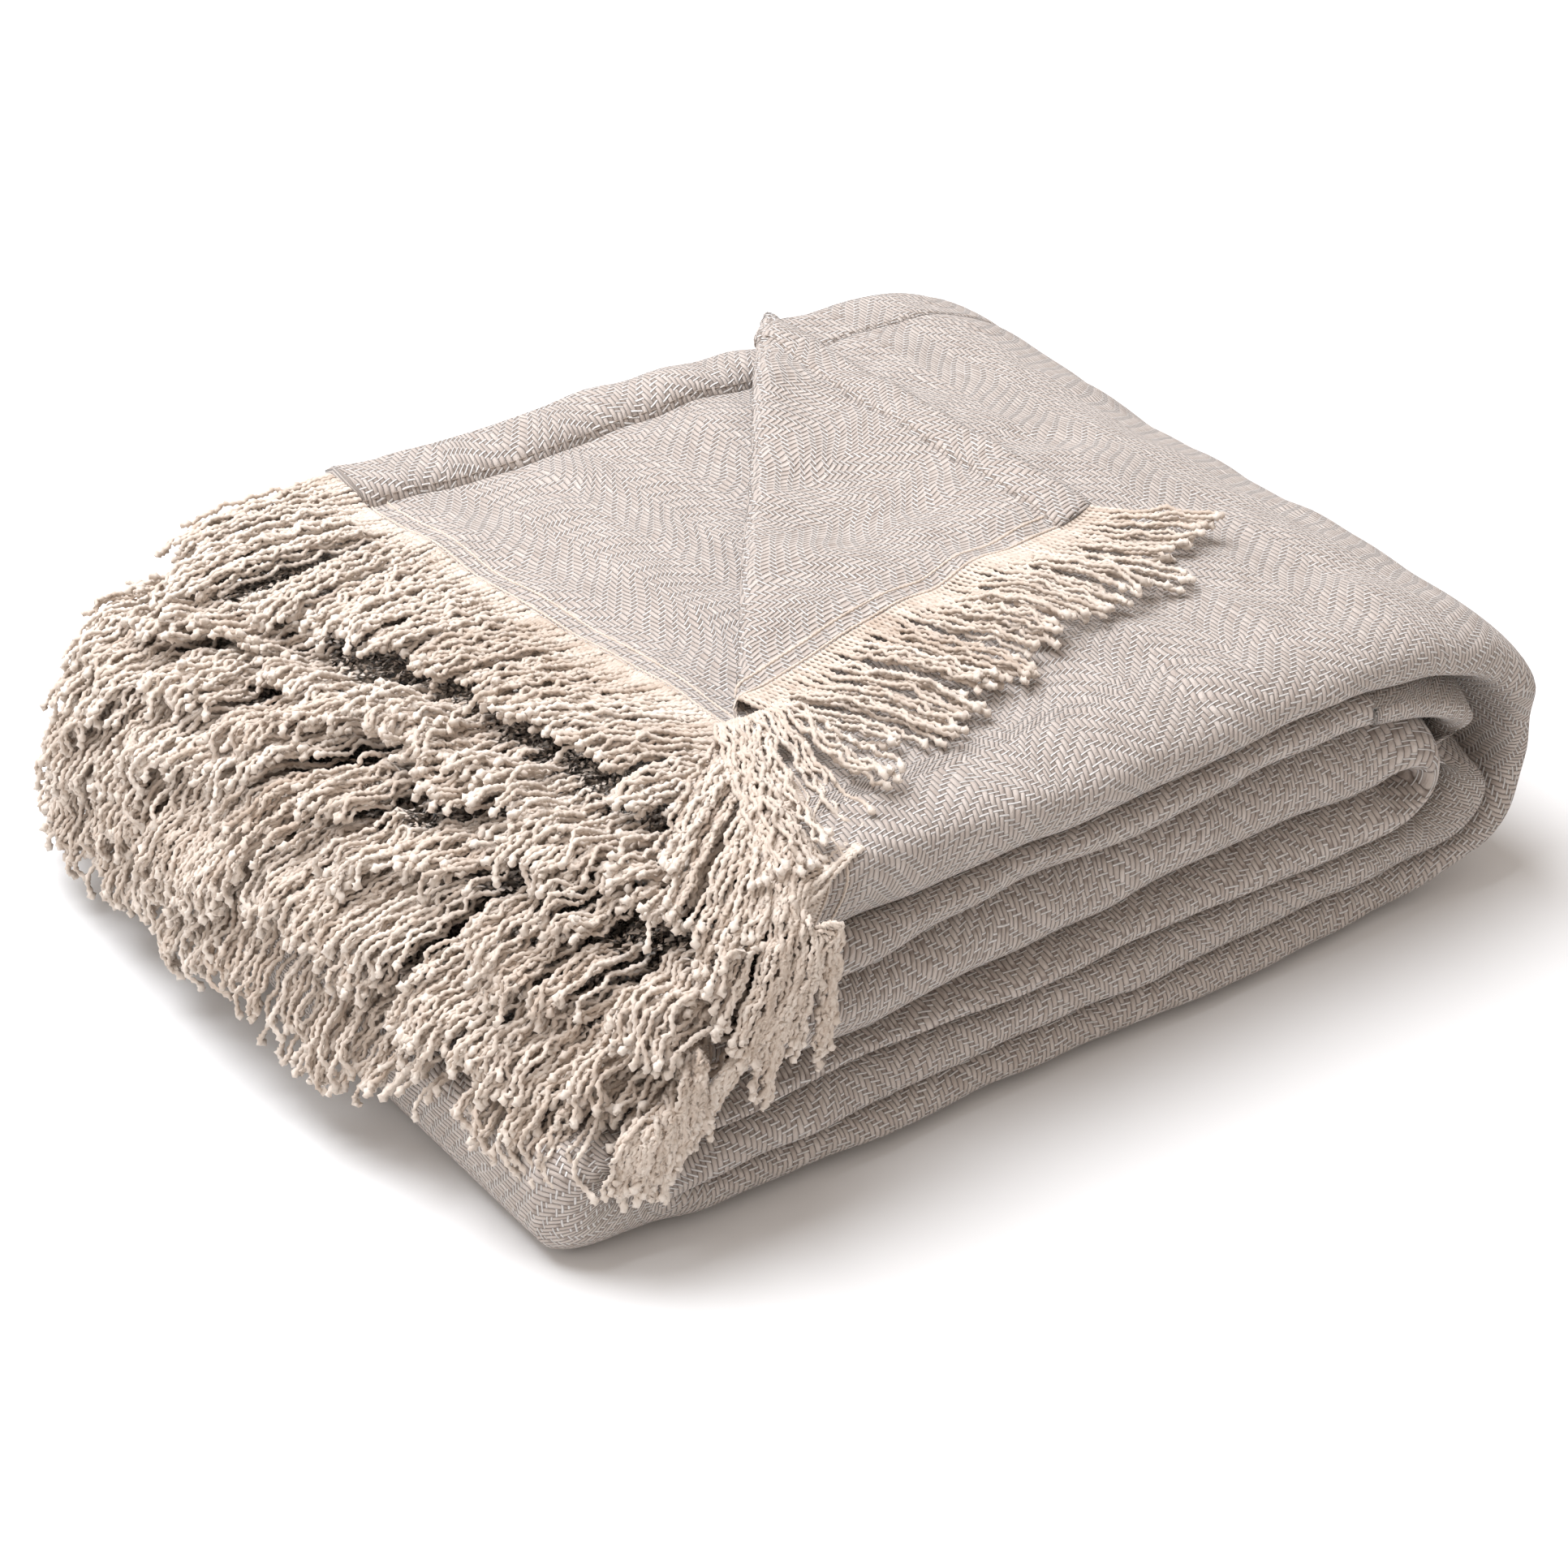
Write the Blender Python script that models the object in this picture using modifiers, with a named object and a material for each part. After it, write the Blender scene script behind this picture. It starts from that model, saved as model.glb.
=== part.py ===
"""A fringed woven throw blanket, folded into a pack and laid flat.

The cloth is folded in four across its width, which gives a long strip four layers thick with its folds
along the front. The strip is folded in half, ends together, and in half again. So two sets of runs turn
round the right end one inside the other, the lower runs turn round the left end, and the fringed ends of
the upper runs lie over that left end. One corner of the top layer is turned back across the top.

Metres, +Z up. X runs along the strip, towards its wrapped end, and Y across it, towards the rear.
The origin is in the middle of the pack's base, fringe included.
"""

import math

import bpy

# Driving dimensions of the folded pack, measured from the middle of its woven part.
GAP = 0.0003  # between pieces that touch
PACK_DEPTH = 0.320
PACK_FRONT = -PACK_DEPTH / 2
RUN_THICKNESS = (0.0168, 0.0157, 0.0068, 0.0077, 0.0138, 0.0138, 0.0138, 0.0264)  # bottom run first
TURN_START = 0.118  # where the runs leave the flat for the right end
WRAP_TIPS = (0.200, 0.183, 0.166, 0.150)  # right tips of the outer, middle, inner and core runs
LEFT_JOIN = -0.172  # where the lower runs leave the flat for the left end
LEFT_TIPS = (-0.203, -0.189)  # left tips of the outer and inner lower turns
SLIT_FROM_TIP = 0.014  # where the core's two runs part, back from its tip
TURN_FULLNESS = 2.4  # 2 is an ellipse, more is squarer
TURN_STEPS = 22

# The fringe: the warp yarns left long past each end of the weave.
FRINGE_LENGTH = 0.088
FRINGE_HEADERS = (-0.100, -0.124, -0.146, -0.160)  # ends of the weave on the four upper runs
TOP_FRINGE_LOWERED = 0.0025
HANG_LINE = -0.2035  # where the rows of fringe go over the left end
CORNER_FRINGE_THICKNESS = 0.008

# The turned-back corner, seen from above: apex at the rear edge, root at the front, tip of the corner.
APEX = (0.100, 0.152)
ROOT = (-0.083, -0.082)
TIP = (0.094, -0.036)
FLAP_THICKNESS = 0.0085
FLAP_FRINGE_LENGTH = 0.070
FLAP_FRINGE_THICKNESS = 0.0065
HEM_WIDTH = 0.022
HEM_THICKNESS = 0.0045
STITCH_RADIUS = 0.0006
HEADER_CORD_RADIUS = 0.0013

WOVEN = ("herringbone_weave", (0.52, 0.47, 0.43, 1.0), 0.92)
TWISTED = ("twisted_fringe_yarn", (0.66, 0.58, 0.50, 1.0), 0.90)
THREAD = ("sewing_thread", (0.34, 0.29, 0.25, 1.0), 0.80)


def clear_scene():
    for obj in list(bpy.data.objects):
        bpy.data.objects.remove(obj, do_unlink=True)


def principled(name, finish):
    """A material of the sub-part's own, from (fibre, colour, roughness)."""
    fibre, colour, roughness = finish
    material = bpy.data.materials.new(f"{name}_{fibre}")
    material.use_nodes = True
    shader = material.node_tree.nodes["Principled BSDF"]
    shader.inputs["Base Color"].default_value = colour
    shader.inputs["Roughness"].default_value = roughness
    shader.inputs["Metallic"].default_value = 0.0
    return material


def levels():
    """(bottom, top) of each run of cloth in the stack, bottom run first."""
    found, height = [], 0.0
    for thickness in RUN_THICKNESS:
        found.append((height, height + thickness))
        height += thickness + GAP
    return found


def turn(start, tip, low, high):
    """Points round the end of a run, from its top edge to its bottom edge."""
    middle, half = (low + high) / 2, (high - low) / 2
    points = []
    for step in range(TURN_STEPS + 1):
        angle = math.pi / 2 - math.pi * step / TURN_STEPS
        out = abs(math.cos(angle)) ** (2 / TURN_FULLNESS)
        up = math.copysign(abs(math.sin(angle)) ** (2 / TURN_FULLNESS), math.sin(angle))
        points.append((start + (tip - start) * out, middle + half * up))
    return points


def new_object(name, data, finish):
    obj = bpy.data.objects.new(name, data)
    obj.data.materials.append(principled(name, finish))
    throw.objects.link(obj)
    obj.parent = anchor
    return obj


def weld_and_round(obj, width, segments):
    """Joins an outline's loose faces to its sides, then rounds its edges."""
    weld = obj.modifiers.new("weld caps", "WELD")
    weld.merge_threshold = 1e-6
    rounding = obj.modifiers.new("rounded edges", "BEVEL")
    rounding.width = width
    rounding.segments = segments
    rounding.limit_method = "ANGLE"
    rounding.angle_limit = math.radians(50)


def outline_curve(name, outline, depth):
    curve = bpy.data.curves.new(name, "CURVE")
    curve.dimensions = "2D"
    curve.fill_mode = "BOTH"
    curve.extrude = depth / 2
    spline = curve.splines.new("POLY")
    spline.points.add(len(outline) - 1)
    for point, (x, y) in zip(spline.points, outline):
        point.co = (x, y, 0.0, 1.0)
    spline.use_cyclic_u = True
    return curve


def across(name, outline, front, rear, finish, rounding, segments=2):
    """A solid with one side view, given as (x, z) points, all the way from front to rear."""
    obj = new_object(name, outline_curve(name, outline, rear - front), finish)
    obj.rotation_euler = (math.pi / 2, 0.0, 0.0)
    obj.location.y = (front + rear) / 2
    weld_and_round(obj, rounding, segments)
    return obj


def plate(name, outline, low, high, finish, rounding, segments=2):
    """A flat solid with one plan, given as (x, y) points."""
    obj = new_object(name, outline_curve(name, outline, high - low), finish)
    obj.location.z = (low + high) / 2
    weld_and_round(obj, rounding, segments)
    return obj


def thread(name, points, radius, finish):
    """A cord or a line of stitching: a thin tube through the points."""
    curve = bpy.data.curves.new(name, "CURVE")
    curve.dimensions = "3D"
    curve.bevel_depth = radius
    curve.bevel_resolution = 2
    curve.use_fill_caps = True
    spline = curve.splines.new("POLY")
    spline.points.add(len(points) - 1)
    for point, place in zip(spline.points, points):
        point.co = (*place, 1.0)
    return new_object(name, curve, finish)


def make_right_wraps():
    """The four pairs of layers that turn round the right end, each inside the one before it."""
    names = ("outer_layers_wrap", "middle_layers_wrap", "inner_layers_wrap", "core_layers_fold")
    runs = levels()
    for order, name in enumerate(names):
        lower, upper = runs[order], runs[-1 - order]
        header = FRINGE_HEADERS[order]
        outside = turn(TURN_START, WRAP_TIPS[order], lower[0], upper[1])
        if order < 3:
            within_low, within_high = lower[1], upper[0]
            inside = turn(TURN_START, WRAP_TIPS[order + 1] + GAP, within_low, within_high)
        else:
            parting = WRAP_TIPS[order] - SLIT_FROM_TIP
            inside = [(parting, upper[0]), (parting, lower[1])]
        outline = [(header, upper[1]), *outside, (LEFT_JOIN, lower[0])]
        outline += [(LEFT_JOIN, lower[1]), *reversed(inside), (header, upper[0])]
        rounding = (0.0065, 0.0060, 0.0030, 0.0032)[order]
        across(name, outline, PACK_FRONT, -PACK_FRONT, WOVEN, rounding)


def make_left_turns():
    """The lower runs' turns round the left end, under the fringe."""
    runs = levels()
    ends = LEFT_JOIN - GAP
    inner_tip = LEFT_TIPS[1]
    outside = turn(ends, LEFT_TIPS[0], runs[0][0], runs[3][1])
    inside = turn(ends, inner_tip - GAP, runs[1][0] - GAP, runs[2][1] + GAP)
    across("left_end_outer_turn", outside + list(reversed(inside)), PACK_FRONT, -PACK_FRONT, WOVEN, 0.0032)
    core = turn(ends, inner_tip, runs[1][0], runs[2][1])
    across("left_end_inner_turn", core, PACK_FRONT, -PACK_FRONT, WOVEN, 0.0032)


def fringe_outline(header, low, high):
    """Side view of a row of fringe: flat out from the weave, then over the left end and down."""
    base = levels()[3][1] + GAP
    flat = header - HANG_LINE
    radius = (low + high) / 2 - base
    upper, lower = [(header, high)], [(header, low)]
    remaining = FRINGE_LENGTH - flat
    if remaining <= 0:
        end = header - FRINGE_LENGTH
        return upper + [(end, high), (end, low)] + lower
    bend = min(remaining / radius, math.pi / 2)
    for step in range(9):
        angle = bend * step / 8
        for side, height in ((upper, high), (lower, low)):
            reach = height - base
            side.append((HANG_LINE - reach * math.sin(angle), base + reach * math.cos(angle)))
    hang = remaining - bend * radius
    if hang > 0:
        upper.append((upper[-1][0], base - hang))
        lower.append((lower[-1][0], base - hang))
    return upper + list(reversed(lower))


def fringe_rows():
    """(header, low, high) of each row of fringe on the left end, top row first."""
    runs = levels()
    top = runs[7]
    rows = [(FRINGE_HEADERS[0], top[0], top[1] - TOP_FRINGE_LOWERED)]
    for order in (1, 2, 3):
        low, high = runs[-1 - order]
        middle = (low + high) / 2
        rows.append((FRINGE_HEADERS[order], middle + GAP / 2, high))
        rows.append((FRINGE_HEADERS[order], low, middle - GAP / 2))
    return rows


def make_fringe_rows():
    for count, (header, low, high) in enumerate(fringe_rows(), start=1):
        outline = fringe_outline(header - GAP, low, high)
        across(f"fringe_row_{count}", outline, PACK_FRONT + 0.001, -PACK_FRONT - 0.003, TWISTED, 0.0015)


def make_front_corner_fringe():
    """Yarns of the upper rows that spill round the front left corner and hang down the front side."""
    runs = levels()
    outline = [(-0.196, runs[7][0]), (-0.104, runs[7][1] - 0.004), (-0.100, 0.088), (-0.116, 0.060)]
    outline += [(-0.134, 0.050), (-0.152, 0.054), (-0.166, 0.024), (-0.184, 0.020), (-0.198, 0.040)]
    outline.reverse()
    near = PACK_FRONT - GAP - CORNER_FRINGE_THICKNESS
    across("front_corner_fringe", outline, near, PACK_FRONT - GAP, TWISTED, 0.002)


def along(start, end, share):
    return tuple(a + (b - a) * share for a, b in zip(start, end))


def flap_axes():
    """Unit directions along the turned-back fringed edge and away from the flap, in plan."""
    run = (TIP[0] - ROOT[0], TIP[1] - ROOT[1])
    length = math.hypot(*run)
    forward = (run[0] / length, run[1] / length)
    return forward, (forward[1], -forward[0])


def make_turned_back_corner():
    """The corner of the top layer, folded over to show its wrong side, with its hem, stitching and fringe."""
    top = levels()[7][1] + GAP
    plate("turned_back_corner", [ROOT, TIP, APEX], top, top + FLAP_THICKNESS, WOVEN, 0.0030)
    above = top + FLAP_THICKNESS + GAP
    _, out = flap_axes()
    reach = tuple(FLAP_FRINGE_LENGTH * side for side in out)
    start = (ROOT[0] + out[0] * 2 * GAP, ROOT[1] + out[1] * 2 * GAP)
    finish = (TIP[0] + out[0] * 2 * GAP, TIP[1] + out[1] * 2 * GAP)
    far_finish = (finish[0] + reach[0] + 0.020, finish[1] + reach[1] + 0.012)
    far_start = (start[0] + reach[0] + 0.012, start[1] + reach[1] + 0.004)
    outline = [start, far_start, far_finish, finish]
    plate("corner_fringe", outline, top, top + FLAP_FRINGE_THICKNESS, TWISTED, 0.0020)
    inward = (-out[0] * 0.004, -out[1] * 0.004)
    cord = []
    for share in (0.05, 0.35, 0.65, 0.95):
        x, y = along(ROOT, TIP, share)
        cord.append((x + inward[0], y + inward[1], above + HEADER_CORD_RADIUS))
    thread("corner_header_cord", cord, HEADER_CORD_RADIUS, TWISTED)
    hem_start, hem_end = along(APEX, ROOT, 0.10), along(TIP, ROOT, 0.10)
    line = [(*along(hem_start, hem_end, share), above + STITCH_RADIUS) for share in (0.06, 0.5, 0.92)]
    thread("corner_hem_stitching", line, STITCH_RADIUS, THREAD)


def make_exposed_layer_trim():
    """On the layer that the turned-back corner uncovers: its side hem, stitching and header cord."""
    top = levels()[7][1] + GAP
    rear = -PACK_FRONT - 0.006
    front = rear - HEM_WIDTH
    left = FRINGE_HEADERS[0] + 0.002
    slope = (APEX[0] - ROOT[0]) / (APEX[1] - ROOT[1])
    right_front = APEX[0] - slope * (APEX[1] - front) - 0.002
    right_rear = APEX[0] - 0.002
    outline = [(left, front), (right_front, front), (right_rear, APEX[1]), (right_rear, rear), (left, rear)]
    plate("rear_side_hem", outline, top, top + HEM_THICKNESS, WOVEN, 0.0015)
    height = top + STITCH_RADIUS
    seam = front - 0.0015
    ends = (left + 0.002, right_front - 0.006)
    line = [(along(ends[:1], ends[1:], share)[0], seam, height) for share in (0.0, 0.5, 1.0)]
    thread("rear_hem_stitching", line, STITCH_RADIUS, THREAD)
    cord = []
    for share in (0.05, 0.5, 1.0):
        y = seam - 0.004 + (ROOT[1] + 0.012 - seam) * share
        cord.append((left + 0.003, y, top + HEADER_CORD_RADIUS))
    thread("exposed_header_cord", cord, HEADER_CORD_RADIUS, TWISTED)


def make_corner_tassel():
    """The loose yarns at the root of the turned-back corner, spilling forward over the edge."""
    top = levels()[7][1] + GAP
    outline = [(ROOT[0] - 0.004, ROOT[1] - 0.002), (-0.130, -0.110), (-0.140, -0.150), (-0.100, -0.158)]
    outline += [(-0.078, -0.156), (ROOT[0] - 0.001, ROOT[1] - 0.010)]
    plate("corner_tassel", outline, top, top + 0.0075, TWISTED, 0.002)


def centre_on_base():
    """Moves the anchor so that the origin is in the middle of the whole pack's base."""
    reach = HANG_LINE
    for header, low, high in fringe_rows():
        reach = min(reach, min(x for x, _ in fringe_outline(header - GAP, low, high)))
    near = PACK_FRONT - GAP - CORNER_FRINGE_THICKNESS
    anchor.location = (-(reach + WRAP_TIPS[0]) / 2, -(near - PACK_FRONT) / 2, 0.0)


clear_scene()
throw = bpy.data.collections.new("folded_throw_blanket")
bpy.context.scene.collection.children.link(throw)
anchor = bpy.data.objects.new("throw_anchor", None)
throw.objects.link(anchor)

make_right_wraps()
make_left_turns()
make_fringe_rows()
make_front_corner_fringe()
make_turned_back_corner()
make_exposed_layer_trim()
make_corner_tassel()
centre_on_base()
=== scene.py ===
# %% [markdown]
# # A folded throw blanket
# The real object is one rectangle of herringbone cloth, about 1.27 m wide and 1.36 m long, hemmed along
# its two long sides and fringed at its two ends with its own warp yarns. It is folded in four across its
# width, the strip is folded in half and in half again, and one corner of the top layer is turned back.
# The frame that comes from the CAD part fixes where everything is. The looks are built round it here:
# one continuous sheet that really follows the folds, hems, stitches, and over two thousand yarns.

import math

import bpy
import numpy as np
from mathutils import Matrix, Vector


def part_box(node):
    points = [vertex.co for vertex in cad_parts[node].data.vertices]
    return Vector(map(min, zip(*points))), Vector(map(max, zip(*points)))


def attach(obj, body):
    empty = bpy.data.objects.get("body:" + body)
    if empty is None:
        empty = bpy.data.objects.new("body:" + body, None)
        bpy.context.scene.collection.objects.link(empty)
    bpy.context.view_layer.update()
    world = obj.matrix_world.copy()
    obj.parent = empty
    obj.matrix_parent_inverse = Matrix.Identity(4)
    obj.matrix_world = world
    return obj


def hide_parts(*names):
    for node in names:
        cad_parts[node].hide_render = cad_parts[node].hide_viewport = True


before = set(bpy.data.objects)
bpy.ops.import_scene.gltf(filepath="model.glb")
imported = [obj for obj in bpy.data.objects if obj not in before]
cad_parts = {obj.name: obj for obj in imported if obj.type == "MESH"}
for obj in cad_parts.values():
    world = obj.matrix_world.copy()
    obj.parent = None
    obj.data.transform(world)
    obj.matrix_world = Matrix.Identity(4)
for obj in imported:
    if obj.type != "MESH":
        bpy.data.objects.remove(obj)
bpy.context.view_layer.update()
wrap_low, wrap_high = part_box("outer_layers_wrap")
RIGHT_END = 0.200  # from the pack's own middle, where the numbers below are counted from
PACK_X = wrap_high.x - RIGHT_END  # that middle, in the frame's coordinates
PACK_Y = (wrap_low.y + wrap_high.y) / 2

# %% [markdown]
# ## Small tools
# A mesh can be drawn by hand, grown by modifiers, or worked out as rows and columns of points. Cloth
# follows rules well, so the sheet and its trims are worked out with numpy and handed to Blender as grids.
# Random things come from one seeded generator, so that the same throw comes out of every run.

# %% Grids, smooth steps and gentle noise
chance = np.random.default_rng(46)


def smooth_step(value, low, high):
    share = np.clip((np.asarray(value, float) - low) / (high - low), 0.0, 1.0)
    return share * share * (3.0 - 2.0 * share)


def hump(value, middle, width):
    """1 at the middle, falling smoothly to 0 about two widths away."""
    return np.exp(-(((np.asarray(value, float) - middle) / width) ** 2))


def make_ripples(wavelength, count=9):
    """A gentle random surface: a few crossed waves of about one length. Returns a function of (x, y)."""
    angles = chance.uniform(0, 2 * math.pi, count)
    lengths = wavelength * chance.uniform(0.7, 1.6, count)
    phases = chance.uniform(0, 2 * math.pi, count)

    def height(x, y):
        total = 0.0
        for angle, length, phase in zip(angles, lengths, phases):
            along = np.asarray(x) * math.cos(angle) + np.asarray(y) * math.sin(angle)
            total = total + np.cos(2 * math.pi * along / length + phase)
        return total / math.sqrt(count / 2)

    return height


def run_along(line):
    """The distance along a line of points, at each of them."""
    return np.concatenate([[0], np.cumsum(np.linalg.norm(np.diff(line, axis=0), axis=1))])


def at_distances(line, run, wanted):
    """The points of a line at the wanted distances along it."""
    return np.stack([np.interp(wanted, run, values) for values in line.T], axis=1)


def between(lines, place):
    """The line at a fractional place among neighbouring lines."""
    low = int(place)
    return lines[low] * (1 - place + low) + lines[low + 1] * (place - low)


def add_object(name, data):
    made = bpy.data.objects.new(name, data)
    bpy.context.scene.collection.objects.link(made)
    return made


def make_mesh(name, points, faces=(), edges=()):
    """A mesh object at the origin, moved from the pack's own middle to the frame."""
    mesh = bpy.data.meshes.new(name)
    placed = np.asarray(points, float).reshape(-1, 3) + (PACK_X, PACK_Y, 0.0)
    mesh.from_pydata(placed.tolist(), edges, faces)
    mesh.update()
    return add_object(name, mesh)


def grid_faces(rows, columns, ring=False):
    """Faces of a grid of points stored row by row. A ring joins its last column to its first."""
    last = columns if ring else columns - 1
    faces = []
    for row in range(rows - 1):
        for column in range(last):
            after = (column + 1) % columns
            start, above = row * columns, (row + 1) * columns
            faces.append((start + column, start + after, above + after, above + column))
    return faces


def linear(code):
    """An sRGB hex colour as the linear RGBA that Blender's sockets take."""
    parts = [int(code[i : i + 2], 16) / 255 for i in (1, 3, 5)]
    return (*(p / 12.92 if p <= 0.04045 else ((p + 0.055) / 1.055) ** 2.4 for p in parts), 1.0)


def add_node(tree, kind, values=(), **settings):
    """One node with its settings. Each value is set on an input, or linked to it if it is a socket."""
    made = tree.nodes.new(kind)
    for setting, value in settings.items():
        setattr(made, setting, value)
    for key, value in values.items() if isinstance(values, dict) else enumerate(values):
        if isinstance(value, bpy.types.NodeSocket):
            tree.links.new(value, made.inputs[key])
        elif value is not None:
            made.inputs[key].default_value = value
    return made


def add_noise(tree, place, scale, detail, **more):
    """The value of a noise texture at a place."""
    inputs = {"Vector": place, "Scale": scale, "Detail": detail, **more}
    return add_node(tree, "ShaderNodeTexNoise", inputs).outputs[0]


def mix_colours(tree, share, first, second, **settings):
    """A colour between two others, each a hex code or a socket, by a share from 0 to 1."""
    first, second = (linear(colour) if isinstance(colour, str) else colour for colour in (first, second))
    inputs = {0: share, 6: first, 7: second}
    return add_node(tree, "ShaderNodeMix", inputs, data_type="RGBA", **settings).outputs[2]


# %% [markdown]
# ## How the strip of cloth runs through the pack
# Seen from the front, the strip starts at its fringed end on top, runs right, turns round the right end,
# runs left along the bottom, turns round the left end, runs right again, makes a tight hairpin, and runs
# left to its other fringed end. Each of the cloth's four layers follows that path a little inside the
# one before. A number called the depth, 0 on the outermost layer and 1 on the innermost, says which.

# %% The four runs, as heights for depth 0, 0.5 and 1
DEPTHS = (0.0, 0.5, 1.0)
TOP_RUN = (0.1165, 0.0895, 0.0763)
BOTTOM_RUN = (0.0004, 0.0172, 0.0328)
LOWER_INNER_RUN = (0.0478, 0.0400, 0.0336)
UPPER_INNER_RUN = (0.0485, 0.0620, 0.0756)
TURN_START = 0.118
OUTER_TIPS = (0.200, 0.183, 0.1668)
INNER_TIPS = (0.142, 0.149, 0.1565)
LEFT_JOIN = -0.168
LEFT_TIPS = (-0.205, -0.192, -0.1785)
FULLNESS = 2.4  # of a turn: 2 is an ellipse, more is squarer
LEFT_FULLNESS = 4.0  # the left turn is flattened by the fringe that lies on it
ROWS = (54, 56, 64, 24, 64, 26, 60)  # of points in each stretch of the path
TOP, RIGHT_TURN, BOTTOM, LEFT_TURN, LOWER_INNER, HAIRPIN, UPPER_INNER = range(len(ROWS))

# %% [markdown]
# The columns of the grid go across the cloth: the outermost layer from its rear hem to the front, round
# the front fold with a crease in its middle, back on the innermost layer, round the rear fold, forward,
# round the inner front fold, and back to the other hem. Only the folds and the top need close columns.

# %% The columns across the cloth
FRONT, REAR = -0.160, 0.160
HEM_EDGES = (0.152, 0.142)  # rear edges of the outermost layer and of the one under it
ROUNDED_FROM = FRONT + 0.030  # where the top starts to round down to the front
# The parts of the fold across the strip. The front fold has a crease between its upper and lower half.
OUTERMOST, UPPER_FRONT, LOWER_FRONT, INNERMOST, REAR_FOLD, THIRD, INNER_FRONT, SECOND = range(8)


def band_profile(steps, top_depth, low_depth, crest):
    """The front of one band, from its top edge to its lower crease: (share of the height, distance in)."""
    found = []
    for step in range(steps + 1):
        angle = math.pi / 2 - math.pi * step / steps
        out, up = abs(math.cos(angle)) ** 0.85, abs(math.sin(angle)) ** 0.85
        if angle >= 0:
            found.append((crest * (1 - up), top_depth * (1 - out)))
        else:
            found.append((crest + (1 - crest) * up, low_depth * (1 - out)))
    return found


def cloth_columns():
    """(depth, distance from the front to the rear, part of the fold) for each column."""
    columns = [(0.0, y, OUTERMOST) for y in np.linspace(HEM_EDGES[0], ROUNDED_FROM, 72)]
    for share, inward in band_profile(18, ROUNDED_FROM - FRONT, 0.014, 0.48)[1:]:
        columns.append((0.5 * share, FRONT + inward, UPPER_FRONT))
    for share, inward in band_profile(16, 0.014, 0.011, 0.45)[1:]:
        columns.append((0.5 + 0.5 * share, FRONT + inward, LOWER_FRONT))
    columns += [(1.0, y, INNERMOST) for y in np.linspace(FRONT + 0.022, REAR - 0.014, 26)]
    for share, inward in band_profile(14, 0.014, 0.014, 0.5)[1:]:
        columns.append((1.0 - 0.78 * share, REAR - inward, REAR_FOLD))
    for y in np.linspace(REAR - 0.026, FRONT + 0.034, 26):
        columns.append((0.22 + 0.33 * smooth_step(y, 0.10, -0.06), y, THIRD))
    for share, inward in band_profile(8, 0.010, 0.010, 0.5)[1:]:
        columns.append((0.55 - 0.45 * share, FRONT + 0.024 + inward, INNER_FRONT))
    columns += [(0.10, y, SECOND) for y in np.linspace(FRONT + 0.040, HEM_EDGES[1], 66)]
    return [np.array(values) for values in zip(*columns)]


DEPTH, ACROSS, PART = cloth_columns()
ROW_COUNT, COLUMN_COUNT = sum(ROWS), len(DEPTH)
print("cloth grid", ROW_COUNT, "x", COLUMN_COUNT)


# %% Where the weave ends, on the top layers and on the ones below
TOP_HEADER_Y = (-0.160, -0.120, -0.082, -0.066, 0.048, 0.142)
TOP_HEADER_X = (-0.103, -0.090, -0.083, -0.082, -0.096, -0.103)
TOP_LAYERS = DEPTH < 0.15
IN_FRONT_FOLD = (PART == UPPER_FRONT) | (PART == LOWER_FRONT)


def header_lines():
    """X of the strip's first and last edge at each column, both a little wavy."""
    top = np.interp(ACROSS, TOP_HEADER_Y, TOP_HEADER_X)
    first = np.where(TOP_LAYERS, top, -0.122 + 0.003 * np.cos(ACROSS * 40))
    first = np.where(IN_FRONT_FOLD, -0.103 - 0.020 * DEPTH, first)
    last = np.where(TOP_LAYERS, -0.160, -0.146) + 0.004 * np.sin(ACROSS * 31)
    last = np.where(IN_FRONT_FOLD, -0.156 + 0.010 * DEPTH, last)
    return first, last


FIRST_HEADER, LAST_HEADER = header_lines()


def height_at(run, depth):
    """A run's height, or a turn's tip, at each depth."""
    return np.interp(depth, DEPTHS, run)


def turn_points(steps, start, tip, low, high, upward, fullness=FULLNESS):
    """A stretch that goes round an end, as (steps, columns) arrays of X and Z."""
    angle = np.linspace(-math.pi / 2, math.pi / 2, steps + 2)[1:-1]
    angle = (angle if upward else -angle)[:, None]
    out = np.abs(np.cos(angle)) ** (2 / fullness)
    up = np.sign(angle) * np.abs(np.sin(angle)) ** (2 / fullness)
    return start + (tip - start) * out, (low + high) / 2 + (high - low) / 2 * up


def run_points(steps, start, end, height):
    share = np.linspace(0.0, 1.0, steps)[:, None]
    return start + (end - start) * share, height + 0.0 * share


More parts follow.
